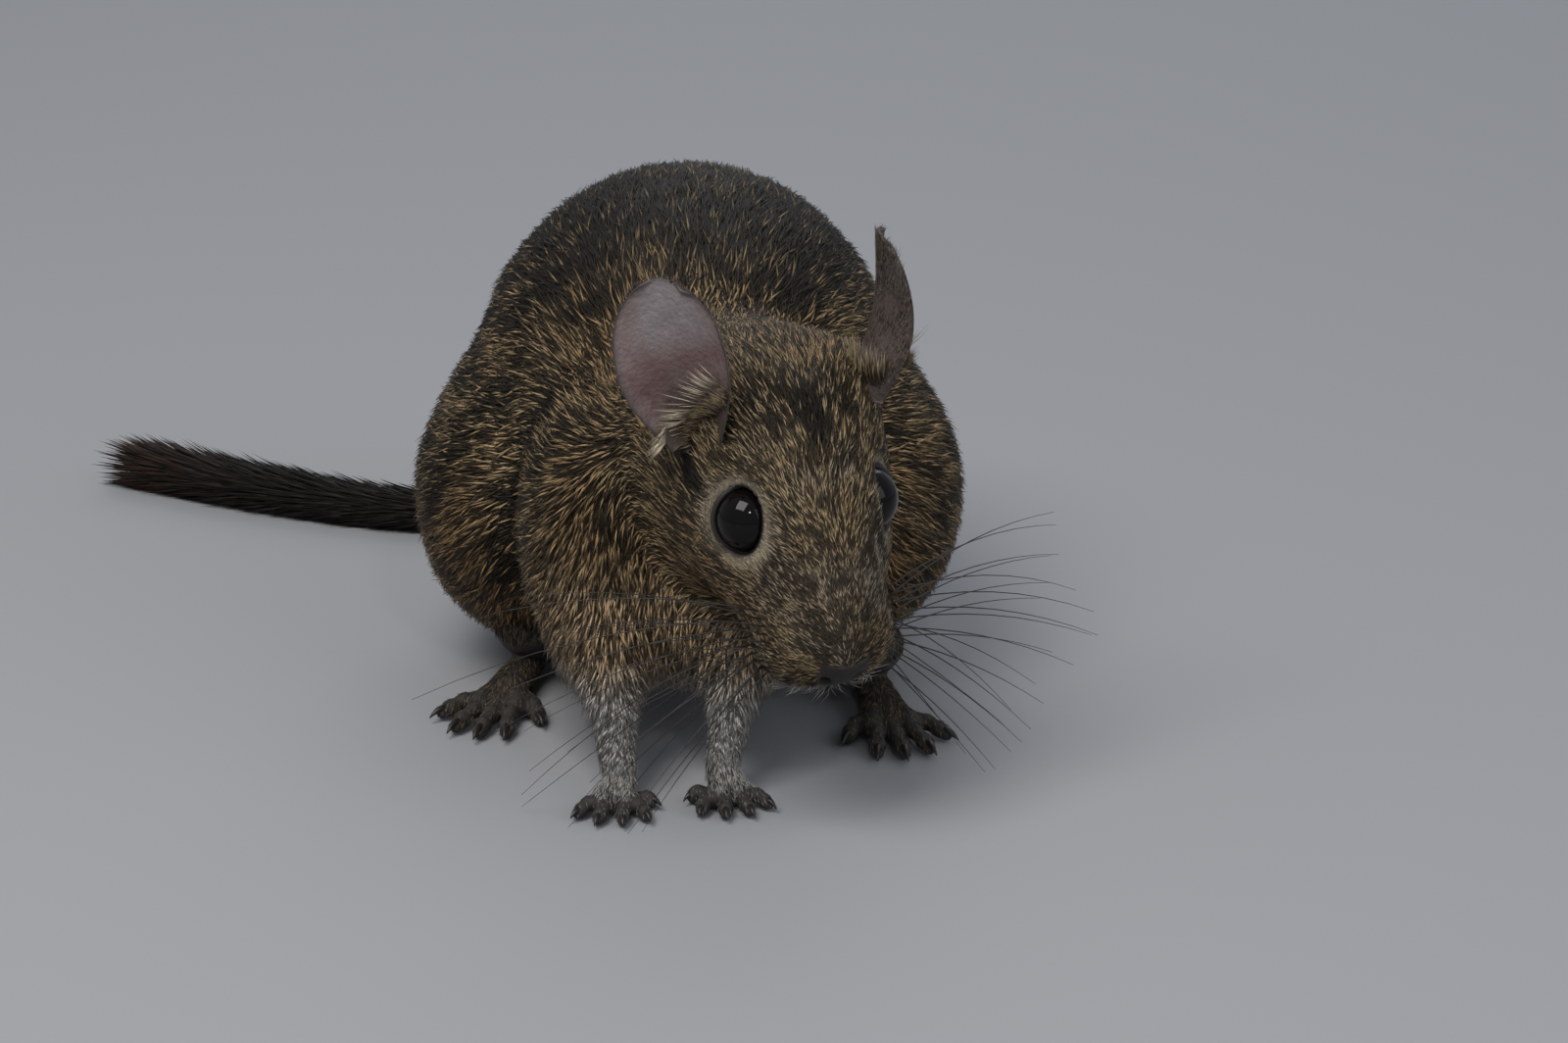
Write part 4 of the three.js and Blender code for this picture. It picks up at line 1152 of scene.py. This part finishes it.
def coat(name_start, density, bent, spread):
    """Hairs over the body, bent guard hairs or a straight undercoat, in pieces from nose to rump."""
    p, uv = hair_roots(density)
    n = slope(p, skin_field)
    head = on_head(p)
    d = hair_ways(p, n, spread)
    marks = markings(p + d * (2.4 - 1.6 * head)[:, None])
    length, width, lift = hair_sizes(p, head, bent)
    root, mid, end = hair_colours(p, *marks)
    order = np.argsort(p[:, 1])
    most = BENT_IN_PIECE if bent else STRAIGHT_IN_PIECE
    for k in range(math.ceil(len(order) / most)):
        i = order[k * most : (k + 1) * most]
        name, sizes = f"{name_start}_{k}", (length[i], width[i])
        if bent:
            hairs(name, p[i], d[i], n[i], *sizes, lift[i], (root[i], mid[i], end[i]), uv[i], "coat")
        else:
            ends = (root[i], blend3(marks[2][i], mid[i], 0.30))
            straight_hairs(name, p[i], d[i], n[i], *sizes, lift[i] * 0.8, ends, uv[i], "coat")


# Hairs a square mm: more on the face and legs, few under the belly
thin = 1.0
head_share = on_head(tri_mid)
front_share = step(head_place(tri_mid)[:, 0], -4, 18)
under = 1 - 0.75 * fall(tri_mid[:, 2], 6, 12) * step(tri_mid[:, 1], -30, -20)
near = (1 - head_share) * under * (1 + 1.6 * legs(tri_mid, head_share)) * thin
face = head_share * thin
coat("coat", 2.4 * near + (4.5 + 3.5 * front_share) * face, True, 12)
coat("undercoat", 4.3 * near + (6 + 6.5 * front_share) * face, False, 16)


# Short hair on the feet: pale on the hands' backs, sparse on the dark toes
FOOT_HAIR = {
    True: dict(density=22.0, toes=(2.8, 4.6), bare=0.93, pale=0.8, light=PALE * 1.1, on_toe=0.55),
    False: dict(density=12.0, toes=(5.5, 8.5), bare=0.75, pale=0.3, light=TAN * 0.8, on_toe=1.0),
}


def foot_coat(index, fore, facing, field):
    kind = FOOT_HAIR[fore]
    p, uv = scatter(kind["density"] * thin, tri_set == index + 1)
    up = slope(p, field)
    toes = fall(claw_distance(p), *kind["toes"])
    good = (up[:, 2] > -0.1) & (p[:, 2] > 0.7) & (rng.random(len(p)) > toes * kind["bare"])
    p, uv, up, toes = p[good], uv[good], up[good], toes[good]
    m = len(p)
    d = heading(facing) - UP * 0.8 + rng.normal(0, 0.14, (m, 3))
    d = along_skin(d, up)
    pale = (rng.random(m) < kind["pale"])[:, None]
    on_toe = np.where(toes[:, None] > 0.5, kind["on_toe"], 1.0)
    shade = np.where(pale, kind["light"], FOOT * 1.2) * rng.uniform(0.7, 1.15, (m, 1)) * on_toe
    length = rng.uniform(1.2, 2.1, m) * (1 - 0.3 * toes)
    lift = rng.uniform(5, 16, m)
    ends = (shade * 0.7, shade, shade)
    hairs(f"foot_hair_{index}", p, d, up, length, np.full(m, 0.12), lift, ends, uv, "foot")


for index, (_, _, fore, field) in enumerate(foot_meshes):
    limb = list((ARMS if fore else FEET).values())[index // 2]
    foot_coat(index, fore, limb["facing"], field)


def tail_uv(t):
    """The unwrap's place nearest to a place along the tail, by the core's own triangles."""
    tris = np.nonzero(tri_set == len(sets) - 1)[0]
    mid = tri_mid[tris]
    near = np.argmin(np.linalg.norm(mid[:, None] - tail_line[None, ::3], axis=2), axis=1) * 3
    where = near / (TAIL_STEPS - 1)
    order = np.argsort(where)
    spot = np.searchsorted(where[order], t + rng.normal(0, 0.01, len(t)))
    return tri_uv[tris[order[np.clip(spot, 0, len(order) - 1)]]].mean(1)


# The tail's brush: hairs leave the core along the tail and grow longer towards its tip
def brush():
    m = int(BRUSH_HAIRS * thin)
    t = rng.random(m) ** 0.8
    last = TAIL_STEPS - 2
    i = np.clip((t * last).astype(int), 0, last)
    share = (t * last - i)[:, None]
    at = tail_line[i] * (1 - share) + tail_line[i + 1] * share
    way = unit(tail_way[i] * (1 - share) + tail_way[i + 1] * share)
    spin = rng.uniform(0, 2 * np.pi, m)
    level = unit(np.cross(way, UP))
    high = np.cross(level, way)
    n = level * np.cos(spin)[:, None] + high * np.sin(spin)[:, None]
    core = np.interp(t, np.linspace(0, 1, TAIL_STEPS), tail_radii)
    root = at + n * core[:, None] * 0.95
    grow = step(t, 0.2, 0.9)
    length = (3.0 + 7.5 * grow) * rng.uniform(0.7, 1.15, m)
    lift = 9 + 15 * grow + rng.normal(0, 4, m)
    width = 0.26 + 0.14 * grow
    warm = step(t, 0.8, 1.0)[:, None] * (rng.random(m) < 0.6)[:, None]
    black = BLACK * rng.uniform(0.8, 2.2, (m, 1))
    tan = fall(t, 0.05, 0.3)[:, None] * (rng.random(m) < 0.5)[:, None]
    tip = black * (1 - warm) + BRUSH_TIP * warm
    tip = tip * (1 - tan) + TAN * 0.6 * tan
    ends = (black, black * (1 - tan) + TAN * 0.5 * tan, tip)
    hairs("tail_brush", root, way, n, length, width, lift, ends, tail_uv(t), "tail", bend=0.6)


brush()


def nearest_uv(p):
    """The unwrap's place under points near the skin, found among a share of its triangles."""
    pick = np.arange(0, tri_count, max(tri_count // 6000, 1))
    out = np.empty((len(p), 2))
    for k in range(0, len(p), 400):
        away = ((p[k : k + 400, None] - tri_mid[pick][None]) ** 2).sum(-1)
        out[k : k + 400] = tri_uv[pick[np.argmin(away, axis=1)]].mean(1)
    return out


def pale_tone(m):
    return CREAM * rng.uniform(0.55, 1.15, (m, 1))


def mixed_tone(m, first, second, share, low, high):
    return np.where(rng.random((m, 1)) < share, first, second) * rng.uniform(low, high, (m, 1))


# Round each ear: stiff pale bristles over its notch, fur that hides its foot, and down on its back
def ear_fringe(name, label, count, places, ways, out, width, colour, long, lift):
    """Hairs along a line on the ear, from shares t of it: places and ways; long and lift are ranges."""
    _, _, opening = ear_frame(name)
    m = int(count * max(thin, 0.3))
    t = rng.random(m)
    p, _ = ear_sheet(name, *places(t))
    p = p + opening * (out + rng.uniform(-0.5, 0.5, m))[:, None]
    d = unit(ways(t) + rng.normal(0, 0.10, (m, 3)))
    up = unit(np.cross(d, np.cross(everywhere(opening, d), d)))
    tone = colour(m)
    ends = (tone * 0.45, tone, tone * 1.1)
    length, angle = rng.uniform(*long, m), rng.uniform(*np.abs(lift), m)
    angle = -angle if lift[1] < 0 else angle
    hairs(f"{label}_{name}", p, d, up, length, np.full(m, width), angle, ends, nearest_uv(p), "coat")


def ear_down(name):
    """Fine short hair on the ear's back."""
    m = int(2600 * thin)
    s, v = rng.uniform(0.0, 0.97, m), rng.uniform(-0.98, 0.98, m)
    p, n = ear_sheet(name, s, v)
    p = p - n * 0.25
    d = unit(ear_frame(name)[0] + rng.normal(0, 0.2, (m, 3)))
    d = along_skin(d, n)
    tone = EAR_DOWN * rng.uniform(0.5, 1.6, (m, 1))
    length, lift = rng.uniform(0.8, 1.7, m), rng.uniform(8, 20, m)
    hairs(f"ear_down_{name}", p, d, -n, length, np.full(m, 0.08), lift, (tone,) * 3, nearest_uv(p), "ear")


def ear_hair(name):
    along, across, opening = ear_frame(name)
    # Over the notch, along the front edge, from the medial side down
    edge = lambda t: (0.30 - 0.32 * t + rng.normal(0, 0.012, len(t)), 0.80 - 1.15 * t)
    below = lambda t: (0.22 - 0.34 * t + rng.normal(0, 0.035, len(t)), 1.0 - 1.5 * t)
    over = lambda t: -across * (0.35 + 0.75 * t)[:, None] + along * (0.95 - 0.9 * t)[:, None] + opening * 0.42
    mixed = lambda m: mixed_tone(m, TAN * 0.95, GREY * 0.5, 0.6, 0.6, 1.2)
    ear_fringe(name, "ear_tuft", 60, edge, over, 0.9, 0.16, pale_tone, (3.8, 6.8), (2, 22))
    ear_fringe(name, "ear_front", 700, below, over, 0.5, 0.12, mixed, (1.6, 3.0), (6, 26))
    # At the outer corner
    corner = lambda t: (-0.05 + 0.10 * t, -0.98 + 0.35 * t)
    outward = -across * 0.6 - along * 0.3 + opening * 0.5
    spread_out = lambda t: np.broadcast_to(outward, (len(t), 3))
    ear_fringe(name, "ear_corner", 150, corner, spread_out, 0.3, 0.18, pale_tone, (2.2, 4.0), (2, 20))
    # Behind the ear
    behind = lambda t: (-0.02 + 0.12 * rng.random(len(t)), -0.95 + 1.9 * t)
    rising = lambda t: along + across * (0.8 * (t - 0.5))[:, None] - opening * 0.35
    dim = lambda m: mixed_tone(m, CREAM * 0.55, TAN * 0.6, 0.4, 0.5, 1.1)
    ear_fringe(name, "ear_behind", 380, behind, rising, -0.7, 0.18, dim, (2.5, 5.0), (0, -14))
    ear_down(name)


for name in SIDE:
    ear_hair(name)


def lip_hair():
    """Whitish hairs that hang from the lips and chin."""
    h = head_place(tri_mid)
    lips = (tri_set == 0) & (h[:, 0] > 15) & (h[:, 0] < 23.5) & (np.abs(h[:, 1]) < 6)
    lips = lips & (h[:, 2] < -9.5) & (h[:, 2] > -14.5)
    p, uv = scatter(3.2 * max(thin, 0.3), lips)
    far = near_lines(p, 0.2) > 0.3
    p, uv = p[far], uv[far]
    n, h, m = slope(p, skin_field), head_place(p), len(p)
    d = -UP + HEAD[1] * (h[:, 1] * 0.10)[:, None] + rng.normal(0, 0.14, (m, 3))
    d = along_skin(d, n)
    pale = PALE * 1.25 * rng.uniform(0.55, 1.1, (m, 1))
    length, lift = rng.uniform(2.4, 4.6, m), rng.uniform(14, 42, m)
    hairs("lip_hair", p, d, n, length, np.full(m, 0.13), lift, (pale * 0.5, pale, pale), uv, "coat")


lip_hair()


# Whiskers on four rows a side, with a few over each eye
def whisker(root, way, length, droop, thick, thin_end, steps=9):
    """A fine tube that starts under the skin and sinks along a curve, kept off the floor."""
    t = np.linspace(0, 1, steps)[:, None]
    line = root - way * 1.0 + way * (length + 1.0) * t - UP * droop * t * t
    line[:, 2] = np.maximum(line[:, 2], 0.3)
    return tube(line, np.linspace(thick, thin_end, steps), 5)


def muzzle_whisker(side, i):
    row, place = i % 4, (i // 4) / 5
    root = on_muzzle(19 - 6.5 * place, -8, side, 0.25 - 0.95 * row / 3)
    spread = math.radians(16 - 58 * row / 3 + 6 * math.sin(i * 2.4))
    sweep = -4 + 34 * place + 5 * math.cos(i * 1.7)
    way = heading(YAW + side * (90 + sweep)) * math.cos(spread) + np.array([0, 0, math.sin(spread)])
    room = (root[2] - 1.2) / max(-way[2], 0.05)
    length = min(24 + 19 * place + 5 * math.sin(i * 3.1), room * 0.93)
    droop = min(length * 0.24, max(0, root[2] + way[2] * length - 1.0))
    return whisker(root, way, length, droop, 0.13, 0.03)


def brow_whisker(side, k):
    at, (ahead, high, out) = EYES["left" if side > 0 else "right"]
    root = at + high * (5.2 + 0.4 * k) + ahead * (1.5 - 1.2 * k) + out * 1.5
    way = unit(high + out * 0.5 - ahead * 0.6 + np.array([0, 0, 0.1 * k]))
    return whisker(root, way, 9 + 2 * k, 1.0, 0.07, 0.02)


all_whiskers = []
for side in (-1, 1):
    all_whiskers += [muzzle_whisker(side, i) for i in range(MUZZLE_WHISKERS)]
    all_whiskers += [brow_whisker(side, k) for k in range(BROW_WHISKERS)]

keep(mesh_object("whiskers", *joined(all_whiskers), whisker_material))


# Floor, lights and camera
def floor_piece():
    me = bpy.data.meshes.new("floor")
    me.from_pydata([(-3, -3, 0), (3, -3, 0), (3, 4, 0), (-3, 4, 0)], [], [(0, 1, 2, 3)])
    me.materials.append(material("floor", plain((0.33, 0.335, 0.35), 0, 0.2), 0.9))
    obj = bpy.data.objects.new("floor", me)
    bpy.context.scene.collection.objects.link(obj)


floor_piece()


def area_light(name, at, target, size, power, colour=(1, 1, 1)):
    data = bpy.data.lights.new(name, "AREA")
    data.energy, data.size, data.color = power, size, colour
    obj = bpy.data.objects.new(name, data)
    obj.location = at
    obj.rotation_euler = (Vector(target) - Vector(at)).to_track_quat("-Z", "Y").to_euler()
    bpy.context.scene.collection.objects.link(obj)


area_light("key", (-0.25, -0.35, 0.75), (0, 0, 0.03), 0.45, 4.6, (1, 0.98, 0.95))
area_light("fill", (0.7, -0.5, 0.5), (0, 0, 0.03), 0.6, 1.6, (0.92, 0.96, 1))
area_light("back", (0.1, 0.7, 0.6), (0, 0, 0.04), 0.6, 1.6, (0.92, 0.96, 1))
area_light("spark", (0.10, -0.50, 0.42), (0, -0.06, 0.05), 0.05, 0.30)
world = bpy.data.worlds.new("world")
world.use_nodes = True
world.node_tree.nodes["Background"].inputs["Color"].default_value = (0.80, 0.84, 0.92, 1)
world.node_tree.nodes["Background"].inputs["Strength"].default_value = 0.35
bpy.context.scene.world = world
bpy.context.scene.view_settings.view_transform = "Standard"

# The camera stands back from its target along its line of sight
camera_data = bpy.data.cameras.new("camera")
camera_data.sensor_width = 36
camera_data.lens = LENS
camera = bpy.data.objects.new("camera", camera_data)
look = np.array([0, math.cos(math.radians(LOOK_DOWN)), -math.sin(math.radians(LOOK_DOWN))])
camera.location = Vector((CAMERA_TARGET - CAMERA_DISTANCE * look - CENTRE) / 1000)
camera.rotation_euler = Vector(look).to_track_quat("-Z", "Y").to_euler()
bpy.context.scene.collection.objects.link(camera)
bpy.context.scene.camera = camera

print("faces", sum(len(o.data.polygons) for o in pieces), flush=True)
